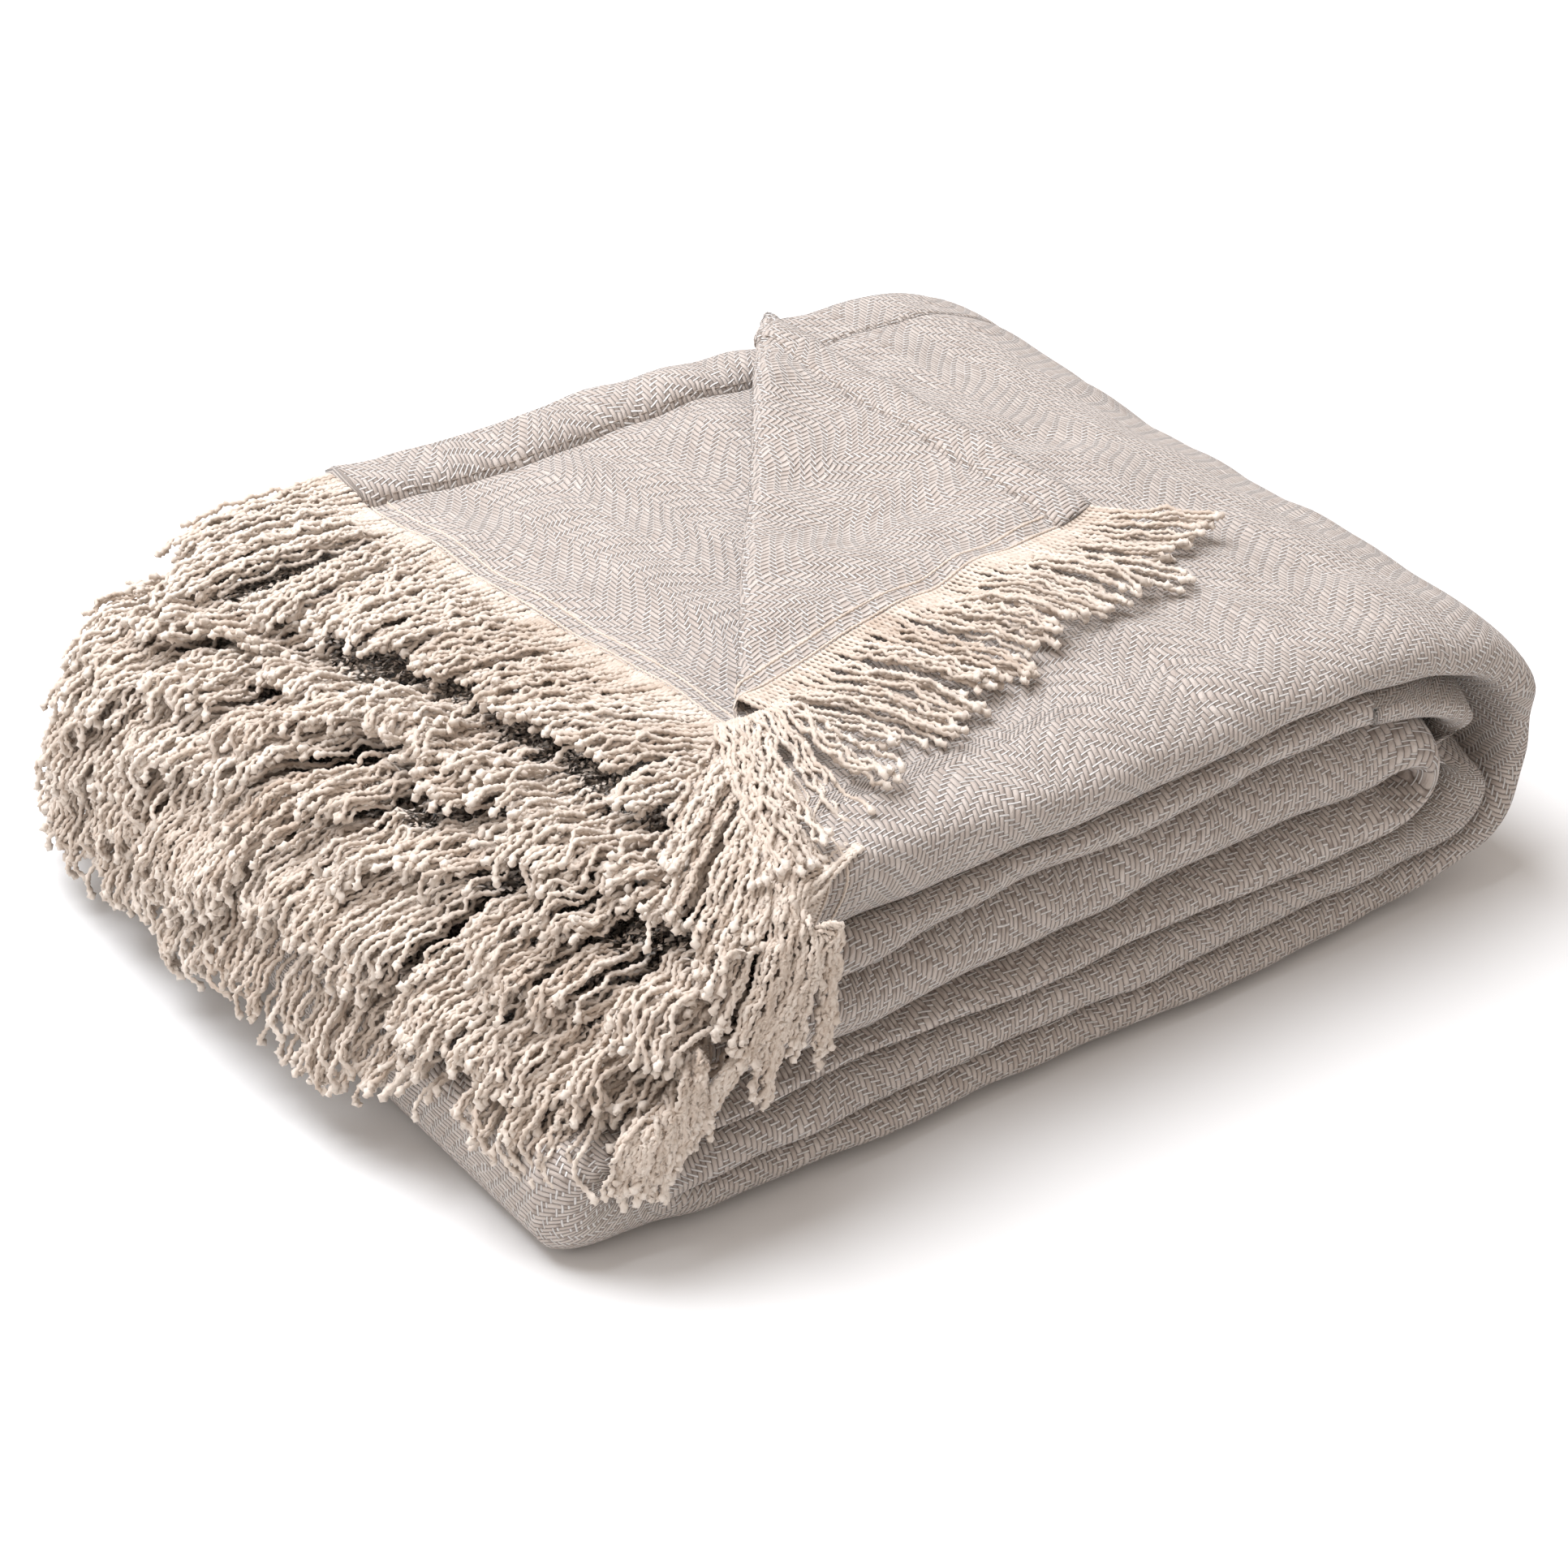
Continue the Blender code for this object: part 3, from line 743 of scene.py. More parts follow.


# %% [markdown]
# ## Cotton fringe yarn
# Undyed, softly spun cotton: cream, with a painted shade of tan in the valleys where the plies sink into
# each other, and each yarn a little lighter or darker than its neighbour. It has no gloss, and fine fibres
# blur its edges.


# %% Yarn material
def make_yarn_material():
    material, tree, shader = new_material("two_ply_cotton_yarn")
    sockets = {}
    for name in ("tone", "valley", "nub"):
        stored = add_node(tree, "ShaderNodeAttribute", attribute_name="yarn_" + name)
        sockets[name] = stored.outputs["Fac"]
    place = add_node(tree, "ShaderNodeTexCoord").outputs["Object"]
    sockets["patch"] = add_noise(tree, place, 260.0, 2.0)
    fibre = add_noise(tree, place, 2600.0, 2.0)
    run_steps(tree, (
        ("mixed", "MULTIPLY_ADD", "patch", 1.1, -0.55),
        ("dull", "ADD", "tone", "mixed"),
        ("light", "MULTIPLY_ADD", "nub", 0.45, "dull"),
        ("held", "MAXIMUM", "light", 0.0),
        ("final", "MINIMUM", "held", 1.0),
        # Painted shade: darker tan in the valleys between the plies, where shade falls.
        ("deep", "POWER", "valley", 2.0),
        ("sunk", "MULTIPLY", "deep", 0.85),
    ), sockets)
    ply = mix_colours(tree, sockets["final"], "#C4B2A2", "#E9DED3")
    dress_shader(
        tree, shader, mix_colours(tree, sockets["sunk"], ply, "#8E7C6F"), (0.5, 0.0003, fibre),
        {"Roughness": 0.9, "Specular IOR Level": 0.2, "Sheen Weight": 0.2, "Sheen Roughness": 0.5})
    return material


cotton_yarn = make_yarn_material()
YARN_STEP = 0.0009  # between the points of a path, short enough for the plies to turn smoothly
ALWAYS_FINE = 0.010  # the least length of a yarn, at its tip, that keeps the short steps


def respaced(path, hidden, step):
    """The path in even short steps, three times as long over its hidden first part."""
    run = run_along(path)
    hidden = min(hidden, run[-1] - ALWAYS_FINE)
    coarse, fine = np.arange(0, hidden, 3 * step), np.arange(max(hidden, 0), run[-1], step)
    return at_distances(path, run, np.concatenate([coarse, fine, run[-1:]]))


def make_yarns(name, paths, tones, hidden=0.0, step=YARN_STEP, **settings):
    """One piece from a list of yarn paths, each an array of points, and each yarn's tone."""
    points, edges, marks = [], [], []
    for path, tone in zip(paths, tones):
        path = respaced(path, hidden, step)
        start = len(points)
        points.extend(path.tolist())
        marks.extend([tone] * len(path))
        edges.extend((i, i + 1) for i in range(start, len(points) - 1))
    piece = make_mesh(name, points, edges=edges)
    layer = piece.data.attributes.new("yarn_tone", "FLOAT", "POINT")
    layer.data.foreach_set("value", np.array(marks, np.float32))
    grow(piece, yarn_tree, {"Material": cotton_yarn, **settings})
    print(name, len(paths), "yarns", sum(len(p.vertices) - 2 for p in piece.data.polygons), "triangles")
    return piece


# %% [markdown]
# ## How the fringe lies over the left end
# Seven rows of fringe come out from between the layers, each a little further left than the row above,
# and tumble over the left end. From outside they read as tiers: each row lies on the next until its own
# tips, where the next one comes up. So one smooth outer surface is drawn over the left end, and each row
# follows it, below it by one thickness for every row that still covers it.

# %% The outer surface of the fringe, as side views at five places from the front to the rear
SURFACE_Y = (-0.165, -0.100, 0.000, 0.120, 0.165)
SURFACE = np.array((
    ((-0.100, 0.110), (-0.128, 0.103), (-0.153, 0.088), (-0.174, 0.067), (-0.190, 0.044), (-0.199, 0.019)),
    ((-0.085, 0.1165), (-0.135, 0.114), (-0.170, 0.100), (-0.198, 0.076), (-0.214, 0.050), (-0.222, 0.026)),
    ((-0.090, 0.1165), (-0.165, 0.1155), (-0.200, 0.105), (-0.222, 0.084), (-0.231, 0.053), (-0.231, 0.018)),
    ((-0.100, 0.118), (-0.150, 0.117), (-0.185, 0.109), (-0.211, 0.092), (-0.227, 0.060), (-0.229, 0.012)),
    ((-0.100, 0.115), (-0.128, 0.112), (-0.155, 0.102), (-0.182, 0.093), (-0.206, 0.060), (-0.214, 0.007)),
))
SURFACE_STEPS = 64


def smooth_curve(controls, steps):
    """A smooth curve through the control points (Catmull-Rom) in even steps, and its length."""
    padded = np.concatenate([[2 * controls[0] - controls[1]], controls, [2 * controls[-1] - controls[-2]]])
    share = np.linspace(0, 1, 20, endpoint=False)[:, None]
    found = []
    for a, b, c, d in zip(padded, padded[1:], padded[2:], padded[3:]):
        found.append(0.5 * (2 * b + (c - a) * share + (2 * a - 5 * b + 4 * c - d) * share**2
                            + (3 * b - a - 3 * c + d) * share**3))
    found = np.concatenate(found + [controls[-1:]])
    run = run_along(found)
    return at_distances(found, run, np.linspace(0, run[-1], steps)), run[-1]


SIDE_VIEWS = [smooth_curve(controls, SURFACE_STEPS) for controls in SURFACE]
VIEW_POINTS = np.array([points for points, _ in SIDE_VIEWS])
VIEW_LENGTHS = np.array([length for _, length in SIDE_VIEWS])
VIEW_SLOPES = np.gradient(VIEW_POINTS, axis=1)
VIEW_NORMALS = np.stack([VIEW_SLOPES[..., 1], -VIEW_SLOPES[..., 0]], axis=-1)
VIEW_NORMALS /= np.linalg.norm(VIEW_NORMALS, axis=-1, keepdims=True)


def on_surface(table, y, share):
    """A value of the surface at each (y, share of the way over the end)."""
    place = np.interp(y, SURFACE_Y, range(len(SURFACE_Y)))
    low = np.minimum(place.astype(int), len(SURFACE_Y) - 2)
    part = (place - low)[:, None]
    step = np.clip(share, 0, 1) * (SURFACE_STEPS - 1)
    first = np.minimum(step.astype(int), SURFACE_STEPS - 2)
    along = (step - first)[:, None]
    near = table[low, first] * (1 - along) + table[low, first + 1] * along
    far = table[low + 1, first] * (1 - along) + table[low + 1, first + 1] * along
    return near * (1 - part) + far * part


# %% [markdown]
# Yarns cling in locks of five to nine. A lock shares its direction, its lift and its length, and its
# yarns draw together towards their tips, so that it ends like a tongue. Each row rises from under the
# tips of the row above, swells, and curls in at its own tips, which is what leaves the dark steps.

# %% Locks of yarns
YARN_PITCH = 0.0031
ROW_LAYERS = 3  # how many yarns deep each row lies
LAYER_DEPTH = 0.0021
TIERS = (0.0, 0.20, 0.30, 0.50, 0.70, 0.80, 1.0)  # where the rows end, from the first tips to the last
LAST_TIPS = 0.965  # of the way over the end
FIRST_TIPS_Y = (-0.10, -0.03, 0.02, 0.06, 0.10, 0.16)
FIRST_TIPS = (0.27, 0.26, 0.29, 0.35, 0.41, 0.43)  # of the way over the end, at each of FIRST_TIPS_Y
YARN_LENGTH = 0.086
HIDDEN_LENGTH = 0.056  # of each yarn under the rows above
FRINGE_FRONT, FRINGE_REAR = -0.164, 0.166  # past the front limit the yarns crowd together
FARTHEST_LEFT, LOWEST = -0.2355, 0.003  # limits of the fringe over the left end
PATH_POINTS = 60
LINE_Y = np.linspace(-0.17, 0.17, 69)


def tier_lines():
    """How far over the end each row's tips lie, at each of LINE_Y. The rows never cross."""
    length = np.interp(LINE_Y, SURFACE_Y, VIEW_LENGTHS)
    first = np.interp(LINE_Y, FIRST_TIPS_Y, FIRST_TIPS)
    lines = []
    for tier in TIERS:
        waves = make_ripples(0.080)
        share = first + (LAST_TIPS - first) * tier
        line = share * length + (0.0055 if 0 < tier < 1 else 0.0025) * waves(0 * LINE_Y, LINE_Y)
        lines.append(np.maximum(line, lines[-1] + 0.006) if lines else line)
    return np.array(lines)


TIER_LINES = tier_lines()


def depth_under(row, y, along):
    """How far a row lies below the outer surface: a step down for every row that still covers it."""
    deep = 0.0 * along
    for above in range(row):
        tips = np.interp(y, LINE_Y, TIER_LINES[above])
        gap = np.interp(y, LINE_Y, TIER_LINES[above + 1]) - tips
        past = (along - tips) / gap
        deep = deep + np.clip(0.45 * gap, 0.003, 0.0100) * (1 - smooth_step(past, 0.20, 0.90))
    return np.minimum(deep, 0.030)


def make_locks(count):
    """For each of so many yarns: its place in its lock, and its slant, lift, extra length and tone."""
    locks, left = [], count
    while left > 0:
        size = min(left, int(chance.integers(5, 10)))
        locks.append(size)
        left -= size
    number = np.repeat(np.arange(len(locks)), locks)
    order = np.arange(count)
    middle = np.array([order[number == k].mean() for k in range(len(locks))])[number]
    half = np.maximum(np.array(locks)[number] / 2, 1.0)
    side = (order - middle) / half

    def by_lock(spread):
        return chance.normal(0, spread, len(locks))[number]

    slant = by_lock(0.20) + chance.normal(0, 0.025, count)
    lift = np.abs(by_lock(0.0016)) + 0.0026 * (1 - side**2) - chance.uniform(0, 0.0010, count)
    longer = by_lock(0.0065) + chance.normal(0, 0.0020, count) - 0.0060 * side**2
    tone = np.clip(0.5 + by_lock(0.09) + chance.normal(0, 0.10, count), 0, 1)
    return middle - order, slant, lift, longer, tone


def waver(run, size):
    """A yarn's own small side to side movement, none at its start, with a curl at its tip."""
    length, phase = chance.uniform(0.008, 0.019), chance.uniform(0, 2 * math.pi)
    slow = np.sin(2 * math.pi * run / length + phase)
    quick = np.sin(2 * math.pi * run / (length * 0.53) + phase * 2)
    curl = chance.normal(0, 2.6) * smooth_step(run, run[-1] - 0.009, run[-1] + 0.003)
    return size * (slow + 0.6 * quick + curl) * smooth_step(run, 0.0, 0.015)


def held_back(y, limit, reach, ease):
    """Values of y that crowd together past a limit, and go no further past it than their reach."""
    return np.where(y < limit, limit - reach * np.tanh((limit - y) / ease), y)


def row_paths(starts, row):
    """Paths of one row of fringe, three yarns deep, from where each yarn leaves the weave."""
    to_lock, slant, lift, longer, tones = make_locks(len(starts))
    share = np.linspace(0, 1, PATH_POINTS)
    paths, all_tones = [], []
    for layer in range(ROW_LAYERS):
        for i, start in enumerate(starts):
            from_y = start[1] + YARN_PITCH * chance.uniform(-0.5, 0.5)
            length = np.interp(from_y, SURFACE_Y, VIEW_LENGTHS)
            tip = np.interp(from_y, LINE_Y, TIER_LINES[row]) + longer[i]
            tip += chance.normal(-0.0020 * layer, 0.0026)
            tip -= (0.004 * row + max(longer[i], 0.0)) * smooth_step(-from_y, 0.130, 0.150)
            begin = max(tip - YARN_LENGTH, 0.0)
            along = begin + (tip - begin) * share
            run = share * (tip - begin)
            fan = -0.15 * smooth_step(-from_y, 0.05, 0.13)
            spread = (1 - 0.35 * layer) * (1 - 0.85 * smooth_step(from_y, 0.06, 0.12))
            lean = slant[i] * spread + fan + chance.normal(0, 0.03)
            y = from_y + run * lean + to_lock[i] * YARN_PITCH * 0.35 * share**1.5
            y = held_back(np.minimum(y + waver(run, 0.0008), FRINGE_REAR), FRINGE_FRONT, 0.011, 0.016)
            curl_in = 0.0030 - 0.0014 * layer + chance.normal(0, 0.0010)
            over = curl_in * smooth_step(run, run[-1] - 0.008, run[-1] + 0.002)
            rise = lift[i] * smooth_step(share, 0.3, 0.85) + waver(run, 0.0006)
            deep = depth_under(row, y, along - 0.7 * longer[i]) + LAYER_DEPTH * layer - rise + over
            flat = on_surface(VIEW_POINTS, y, along / length)
            flat = flat - on_surface(VIEW_NORMALS, y, along / length) * deep[:, None]
            blend = smooth_step(run, 0.0, 0.026)[:, None]
            straight = np.stack([start[0] - run, start[2] + 0.0 * run], axis=1)
            side = straight * (1 - blend) + flat * blend
            side = np.maximum(side, (FARTHEST_LEFT, LOWEST))
            paths.append(np.stack([side[:, 0], y, side[:, 1]], axis=1))
            all_tones.append(float(np.clip(tones[i] + chance.normal(0, 0.08), 0, 1)))
    return paths, all_tones


def header_starts(row_index, columns, pitch=YARN_PITCH):
    """Where the yarns leave the weave along some columns of the first or last row, evenly spaced."""
    edge = cloth_points[row_index, columns]
    run = run_along(edge)
    return at_distances(edge, run, np.arange(pitch / 2, run[-1], pitch))


def round_the_front(starts):
    """The same row carried on to the front, where its layer turns round the fold."""
    nearest = starts[np.argmin(starts[:, 1])]
    more = np.arange(FRONT + 0.003, nearest[1] - YARN_PITCH / 2, YARN_PITCH)
    return np.concatenate([starts, np.stack([nearest[0] + 0 * more, more, nearest[2] + 0 * more], axis=1)])


FIRST_ROW, LAST_ROW = 0, ROW_COUNT - 1
layer_columns = {part: np.flatnonzero(PART == part) for part in range(SECOND + 1)}
FRINGE_ROWS = (  # where each row of fringe leaves the weave, top row first
    (FIRST_ROW, SECOND), (FIRST_ROW, THIRD), (FIRST_ROW, INNERMOST),
    (LAST_ROW, INNERMOST), (LAST_ROW, THIRD), (LAST_ROW, SECOND), (LAST_ROW, OUTERMOST))
fringe_pieces = []
for number, (edge_row, part) in enumerate(FRINGE_ROWS):
    starts = round_the_front(header_starts(edge_row, layer_columns[part]))
    paths, tones = row_paths(starts, number)
    hidden = HIDDEN_LENGTH if number else 0.0
    fringe_pieces.append(make_yarns(f"fringe_yarns_{number + 1}", paths, tones, hidden, Seed=float(number)))

# %% [markdown]
# ## The turned-back corner's fringe, and the yarns at the front corner
# On the turned-back corner the yarns lie on the cloth, side by side. At the front left corner nothing
# holds them up: they leave the weave, arch over and hang. A simulation of them all would take many
# minutes, so each of those yarns is a smooth curve through a few points. The points are chosen at some
# places along the edge, and the yarns between two such places take points between theirs.


# %% The top of the cloth, under the corner's fringe
CORNER_PITCH = 0.0019
CORNER_LENGTH, SHORTER_OUT = 0.053, 0.012  # at the root, and how much less at the far side


def top_surface(x, y):
    """Height of the top of the pack at each (x, y), with its rounding towards the front."""
    out = np.clip(1 - (np.asarray(y) - FRONT) / (ROUNDED_FROM - FRONT), 0.0, 1.0) ** (1 / 0.85)
    drop = 0.013 * (1 - np.sqrt(1 - out**2) ** 0.85)
    return settle(x, y, np.full(np.shape(x), TOP_RUN[0]))[2] - drop


def corner_fringe_paths():
    """Yarns of the turned-back corner, in two levels that take turns."""
    columns = layer_columns[OUTERMOST]
    past = cloth_points[FIRST_ROW, columns, 0] > ROOT[0] + 0.004
    starts = header_starts(FIRST_ROW, columns[past], CORNER_PITCH)
    _, slant, lift, longer, tones = make_locks(len(starts))
    paths = []
    for i, start in enumerate(starts):
        outer = smooth_step(start[0], 0.03, 0.09)
        run = np.linspace(0, CORNER_LENGTH - SHORTER_OUT * outer + 0.5 * longer[i], PATH_POINTS)
        lean = 0.42 + 0.16 * slant[i] + 0.45 * outer + chance.normal(0, 0.03)
        x = start[0] + run * lean + waver(run, 0.0008)
        y = start[1] - run * 0.985
        arch = np.sin(math.pi * np.clip(run / 0.067, 0, 1)) ** 0.5
        ground = top_surface(x, y) + 0.0016 + (lift[i] + 0.0030 * (i % 2)) * arch
        blend = smooth_step(run, 0.0, 0.024)
        z = start[2] * (1 - blend) + ground * blend + waver(run, 0.0004)
        paths.append(np.stack([x, y, z], axis=1))
    return paths, tones


paths, tones = corner_fringe_paths()
corner_yarns = make_yarns("corner_fringe_yarns", paths, tones, Seed=11.0)


# %% Yarns that hang at the front left corner
HANGING_FRONT = -0.170  # past this the hanging yarns crowd together
FRONT_PITCH, UNDER_PITCH, TASSEL_COUNT = 0.0013, 0.0007, 26


def draped_paths(starts, routes, gather=0.35):
    """Smooth yarns through each start and its route, drawn together in locks towards their tips."""
    to_lock, slant, lift, longer, tones = make_locks(len(starts))
    share = np.linspace(0, 1, PATH_POINTS)
    paths = []
    for i, start in enumerate(starts):
        mate = int(np.clip(round(i + to_lock[i]), 0, len(starts) - 1))
        route = routes[i] + (routes[mate] - routes[i]) * np.linspace(0, gather, len(routes[i]))[:, None]
        path, length = smooth_curve(np.concatenate([[start], route]), PATH_POINTS)
        run = share * length
        path[:, 0] += waver(run, 0.0008) + 0.15 * slant[i] * run
        path[:, 1] -= 0.9 * lift[i] * np.sin(math.pi * share) + np.abs(waver(run, 0.0007))
        path[:, 2] += waver(run, 0.0007) - 0.7 * longer[i] * share
        path[:, 1] = held_back(path[:, 1], HANGING_FRONT, 0.011, 0.014)
        path[:, 2] = np.maximum(path[:, 2], 0.004)
        paths.append(path)
    return paths, tones


def routes_along(share, keys, *stages):
    """Control points for each yarn: every stage is a list of (x, y, z), one for each key share."""
    return np.stack([at_distances(np.array(stage), keys, share) for stage in stages], axis=1)


def front_corner_paths():
    """Yarns of the top layer in front of the corner's root, and of the front folds of the top run."""
    columns = layer_columns[OUTERMOST]
    flat = columns[cloth_points[FIRST_ROW, columns, 1] < ROOT[1] - 0.002]
    folded = np.concatenate([flat, layer_columns[UPPER_FRONT], layer_columns[LOWER_FRONT]])
    starts = header_starts(FIRST_ROW, folded, FRONT_PITCH)
    share = np.linspace(0, 1, len(starts))
    keys = (0.0, 0.15, 0.30, 0.43, 0.55, 0.66, 0.74, 0.82, 1.0)
    near = starts + np.stack([-0.009 - 0.002 * share, -0.005 * share, 0.002 - 0.002 * share], axis=1)
    middle = (
        (-0.116, -0.101, 0.1205), (-0.122, -0.124, 0.118), (-0.126, -0.148, 0.112),
        (-0.126, -0.163, 0.104), (-0.122, -0.171, 0.096), (-0.115, -0.174, 0.094),
        (-0.110, -0.174, 0.100), (-0.130, -0.170, 0.082), (-0.142, -0.166, 0.074))
    tips = (
        (-0.141, -0.117, 0.110), (-0.150, -0.142, 0.100), (-0.152, -0.163, 0.088),
        (-0.145, -0.172, 0.074), (-0.134, -0.176, 0.057), (-0.121, -0.176, 0.060),
        (-0.110, -0.175, 0.078), (-0.152, -0.172, 0.060), (-0.166, -0.168, 0.047))
    routes = np.concatenate([near[:, None], routes_along(share, keys, middle, tips)], axis=1)
    return draped_paths(starts, routes)


def under_fold_paths():
    """Yarns of the strip's other end, at its front folds: they fill the corner lower down."""
    folded = np.concatenate([layer_columns[LOWER_FRONT], layer_columns[UPPER_FRONT]])
    starts = header_starts(LAST_ROW, folded, UNDER_PITCH)
    share = np.linspace(0, 1, len(starts))
    keys = (0.0, 0.33, 0.67, 1.0)
    near = starts + np.array((-0.006, -0.004, 0.0))
    middle = (
        (-0.158, -0.168, 0.074), (-0.165, -0.171, 0.062), (-0.174, -0.170, 0.054), (-0.182, -0.164, 0.050))
    tips = (
        (-0.160, -0.171, 0.054), (-0.168, -0.172, 0.040), (-0.178, -0.170, 0.031), (-0.188, -0.163, 0.030))
    routes = np.concatenate([near[:, None], routes_along(share, keys, middle, tips)], axis=1)
    return draped_paths(starts, routes)


first_paths, first_tones = front_corner_paths()
more_paths, more_tones = under_fold_paths()
front_yarns = make_yarns(
    "front_corner_yarns", first_paths + more_paths, [*first_tones, *more_tones], Seed=12.0)


def tassel_paths():
    """The loose yarns at the root, which spill to the front in a tuft."""
    share = np.linspace(0, 1, TASSEL_COUNT)
    bowed = ROOT[1] - 0.002 - 0.003 * np.sin(math.pi * share)
    starts = np.stack([ROOT[0] - 0.010 + 0.020 * share, bowed, 0.1215 + 0 * share], axis=1)
    keys = (0.0, 0.35, 0.7, 1.0)
    near = (
        (-0.098, -0.090, 0.125), (-0.090, -0.094, 0.126), (-0.080, -0.094, 0.126), (-0.070, -0.090, 0.125))
    middle = (
        (-0.112, -0.120, 0.1215), (-0.104, -0.128, 0.120), (-0.088, -0.128, 0.1195), (-0.066, -0.118, 0.1205))
    tips = (
        (-0.128, -0.152, 0.110), (-0.110, -0.158, 0.111), (-0.086, -0.148, 0.114), (-0.060, -0.138, 0.119))
    return draped_paths(starts, routes_along(share, keys, near, middle, tips))


paths, tones = tassel_paths()
tassel_yarns = make_yarns("corner_tassel_yarns", paths, tones, Seed=13.0)

# %% [markdown]
# ## Header bands
# At each end the weaver bound the last picks with two twisted cords, so that the weave can't ravel into
# the fringe. They run the whole width of the cloth, through its folds, so each cord is one long yarn
# made by the same tree, laid on the grid a few millimetres in from the edge.


# %% Header cords
CORD = {"Yarn radius": 0.00072, "Twist pitch": 0.0040, "Slub": 0.4, "Seed": 20.0}
CORD_STEP, CORD_TONE = 0.0010, 0.50


def make_header(name, rows):
    """Two cords along fractional rows of the grid, through all its columns."""
    paths = [smooth_curve(between(cloth_points, row), 700)[0] for row in rows]
    return make_yarns(name, paths, [CORD_TONE] * len(paths), step=CORD_STEP, **CORD)


outer_header = make_header("first_end_header_cords", (0.35, 1.9))
inner_header = make_header("last_end_header_cords", (ROW_COUNT - 1.35, ROW_COUNT - 2.9))

# %% [markdown]
# ## Stitching
# A row of straight stitches holds each hem, about 20 mm from the edge. Its thread is coloured darker than
# the cloth, partly its own colour and partly a painted shade along the stitch line. Each stitch shows
# as a short raised dash. The tree sets one small bead on each point of the line, turned along it.


# %% Stitches
def build_stitch_tree():
    tree, group_in, group_out = open_tree("straight_stitches", (
        ("Stitch length", "NodeSocketFloat", 0.0030),
        ("Stitch spacing", "NodeSocketFloat", 0.0040),
        ("Thread radius", "NodeSocketFloat", 0.00024),
        ("Material", "NodeSocketMaterial", None),
    ))
    line = add_node(tree, "GeometryNodeMeshToCurve", {"Mesh": group_in.outputs["Geometry"]})
    marks = add_node(tree, "GeometryNodeCurveToPoints", {
        "Curve": line.outputs[0], "Length": group_in.outputs["Stitch spacing"]}, mode="LENGTH")
    bead = add_node(tree, "GeometryNodeMeshUVSphere", {"Segments": 6, "Rings": 5, "Radius": 1.0})
    half = add_node(tree, "ShaderNodeMath", (group_in.outputs["Stitch length"], 0.5), operation="MULTIPLY")
    size = add_node(tree, "ShaderNodeCombineXYZ", (
        group_in.outputs["Thread radius"], group_in.outputs["Thread radius"], half.outputs[0]))
    placed = add_node(tree, "GeometryNodeInstanceOnPoints", {
        "Points": marks.outputs[0], "Instance": bead.outputs[0], "Rotation": marks.outputs["Rotation"],
        "Scale": size.outputs[0]})
    close_tree(tree, group_in, group_out, placed.outputs[0])
    return tree


def make_thread_material():
    """Spun polyester sewing thread with a faint gloss and a fine twist, coloured darker than the cloth:
    partly its own colour, partly a painted shade along the stitch line.
    """
    material, tree, shader = new_material("spun_sewing_thread")
    place = add_node(tree, "ShaderNodeTexCoord")
    twist = add_noise(tree, place.outputs["Object"], 900.0, 2.0)
    # The thread's darkness is partly painted shade along the stitch line.
    colour = mix_colours(tree, twist, "#7A6D62", "#B0A398")
    dress_shader(tree, shader, colour, (0.4, 0.0002, twist), {"Roughness": 0.6})
    return material


stitch_tree = build_stitch_tree()
sewing_thread = make_thread_material()


def make_stitches(name, column, full):
    """Stitches on both faces of a hem, along a fractional column of the grid."""
    line = between(cloth_points.swapaxes(0, 1), column)
    sunk = cloth_normals[:, int(column)] * (0.50 * hem_half(line, full)[:, None])
    points = np.concatenate([line + sunk, line - sunk])
    points[:, 2] = np.maximum(points[:, 2], 2 * ON_FLOOR)
    edges = [(i, i + 1) for i in range(2 * ROW_COUNT - 1) if i != ROW_COUNT - 1]
    piece = make_mesh(name, points, edges=edges)
    grow(piece, stitch_tree, {"Material": sewing_thread})
    print(name, len(piece.data.polygons), "faces")
    return piece


OUTER_LINE, UNDER_LINE = 5.55, COLUMN_COUNT - 1 - 5.6  # the columns that the stitches follow
outer_stitches = make_stitches("outer_hem_stitches", OUTER_LINE, OUTER_HEM)
inner_stitches = make_stitches("under_hem_stitches", UNDER_LINE, UNDER_HEM)

# %% [markdown]
# ## Floor, light and camera
# A white sweep, one large soft light above and behind, and a weak fill give the even studio look, with
# one soft shadow where the pack meets the floor.


# %% Stage
def make_floor():
    corners = [(-6.0, -6.0, 0), (6.0, -6.0, 0), (6.0, 6.0, 0), (-6.0, 6.0, 0)]
    floor = make_mesh("studio_floor", corners, [(0, 1, 2, 3)])
    material, _, shader = new_material("white_studio_paper")
    set_inputs(shader, {"Base Color": linear("#EAEAEA"), "Roughness": 0.9, "Specular IOR Level": 0.1})
    floor.data.materials.append(material)


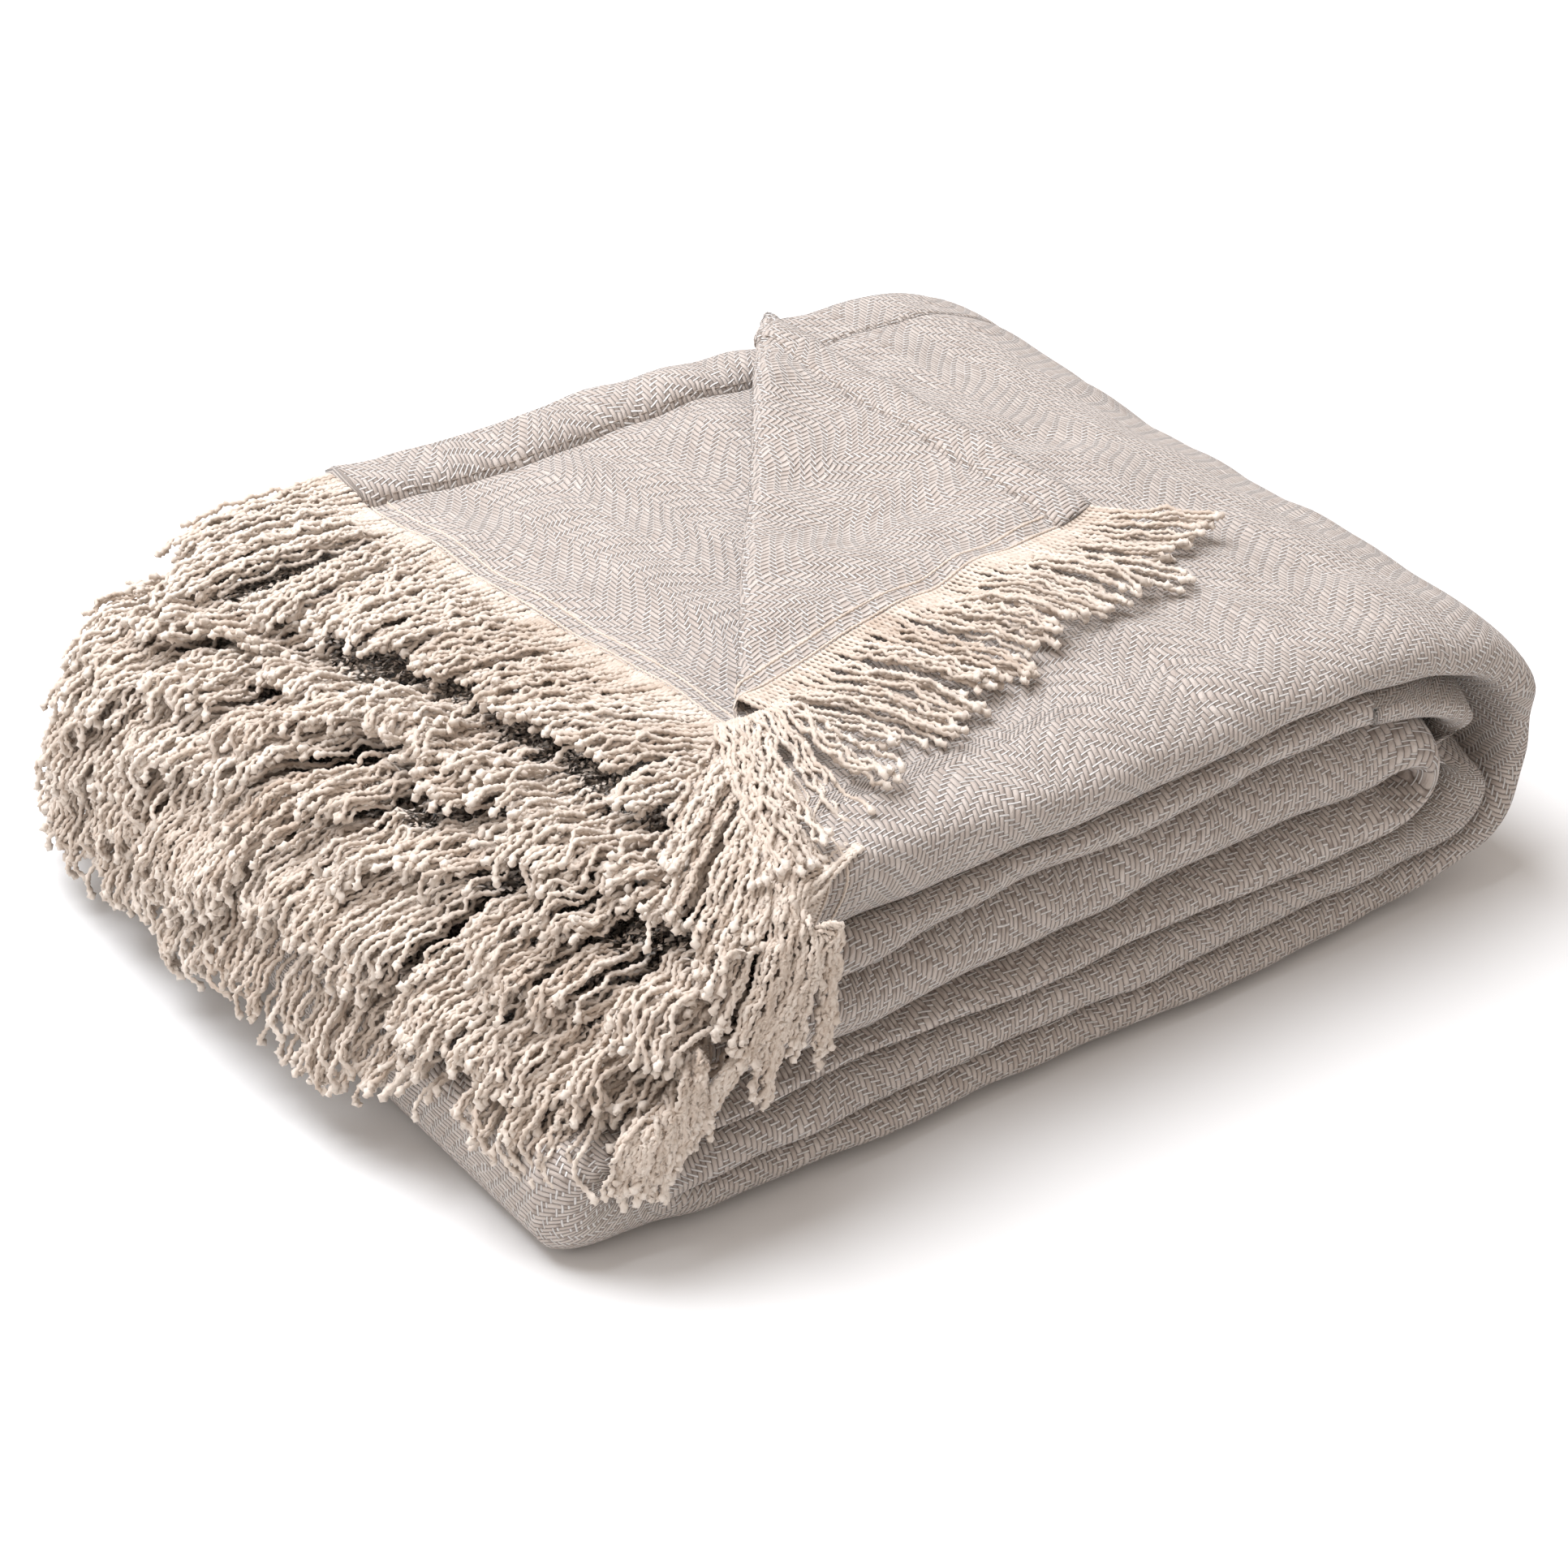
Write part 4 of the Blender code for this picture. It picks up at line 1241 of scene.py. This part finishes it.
def add_light(name, place, target, size, power, colour):
    data = bpy.data.lights.new(name, "AREA")
    data.shape, data.size, data.energy = "DISK", size, power
    data.color = linear(colour)[:3]
    lamp = add_object(name, data)
    lamp.location = place
    aim = Vector(target) - Vector(place)
    lamp.rotation_euler = aim.to_track_quat("-Z", "Y").to_euler()


def light_stage():
    world = bpy.data.worlds.new("studio_air")
    world.use_nodes = True
    set_inputs(world.node_tree.nodes["Background"], {"Color": linear("#FFF4EB"), "Strength": 0.60})
    bpy.context.scene.world = world
    bpy.context.scene.view_settings.view_transform = "Standard"
    add_light("overhead_softbox", (-0.40, 0.52, 1.80), (0, 0, 0.05), 1.6, 54.0, "#F7FAFF")
    add_light("left_softbox", (-1.6, -0.3, 0.9), (0, 0, 0.05), 1.0, 3.0, "#FFFFFF")


def place_camera():
    data = bpy.data.cameras.new("studio_camera")
    data.sensor_width = 36.0
    data.lens = 93.2
    camera = add_object("studio_camera", data)
    azimuth, elevation, distance = math.radians(-35.4), math.radians(32.4), 1.376
    target = Vector((-0.030 + PACK_X, -0.031 + PACK_Y, 0.05))
    level = math.cos(elevation)
    back = Vector((math.sin(azimuth) * level, -math.cos(azimuth) * level, math.sin(elevation)))
    camera.location = target + back * distance
    camera.rotation_euler = (-back).to_track_quat("-Z", "Y").to_euler()
    bpy.context.scene.camera = camera


make_floor()
light_stage()
place_camera()

# %% Everything rides on the one body
whole = [throw_cloth, outer_hem, inner_hem, *fringe_pieces, corner_yarns, front_yarns, tassel_yarns,
         outer_header, inner_header, outer_stitches, inner_stitches]
for piece in whole:
    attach(piece, "root")
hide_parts("outer_layers_wrap", "middle_layers_wrap", "inner_layers_wrap", "core_layers_fold",
            "left_end_outer_turn", "left_end_inner_turn", "turned_back_corner")
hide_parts("rear_side_hem")
for number, piece in enumerate(fringe_pieces, start=1):
    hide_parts(f"fringe_row_{number}")
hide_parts("corner_fringe")
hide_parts("front_corner_fringe")
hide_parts("corner_tassel")
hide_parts("corner_header_cord", "exposed_header_cord")
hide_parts("corner_hem_stitching")
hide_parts("rear_hem_stitching")
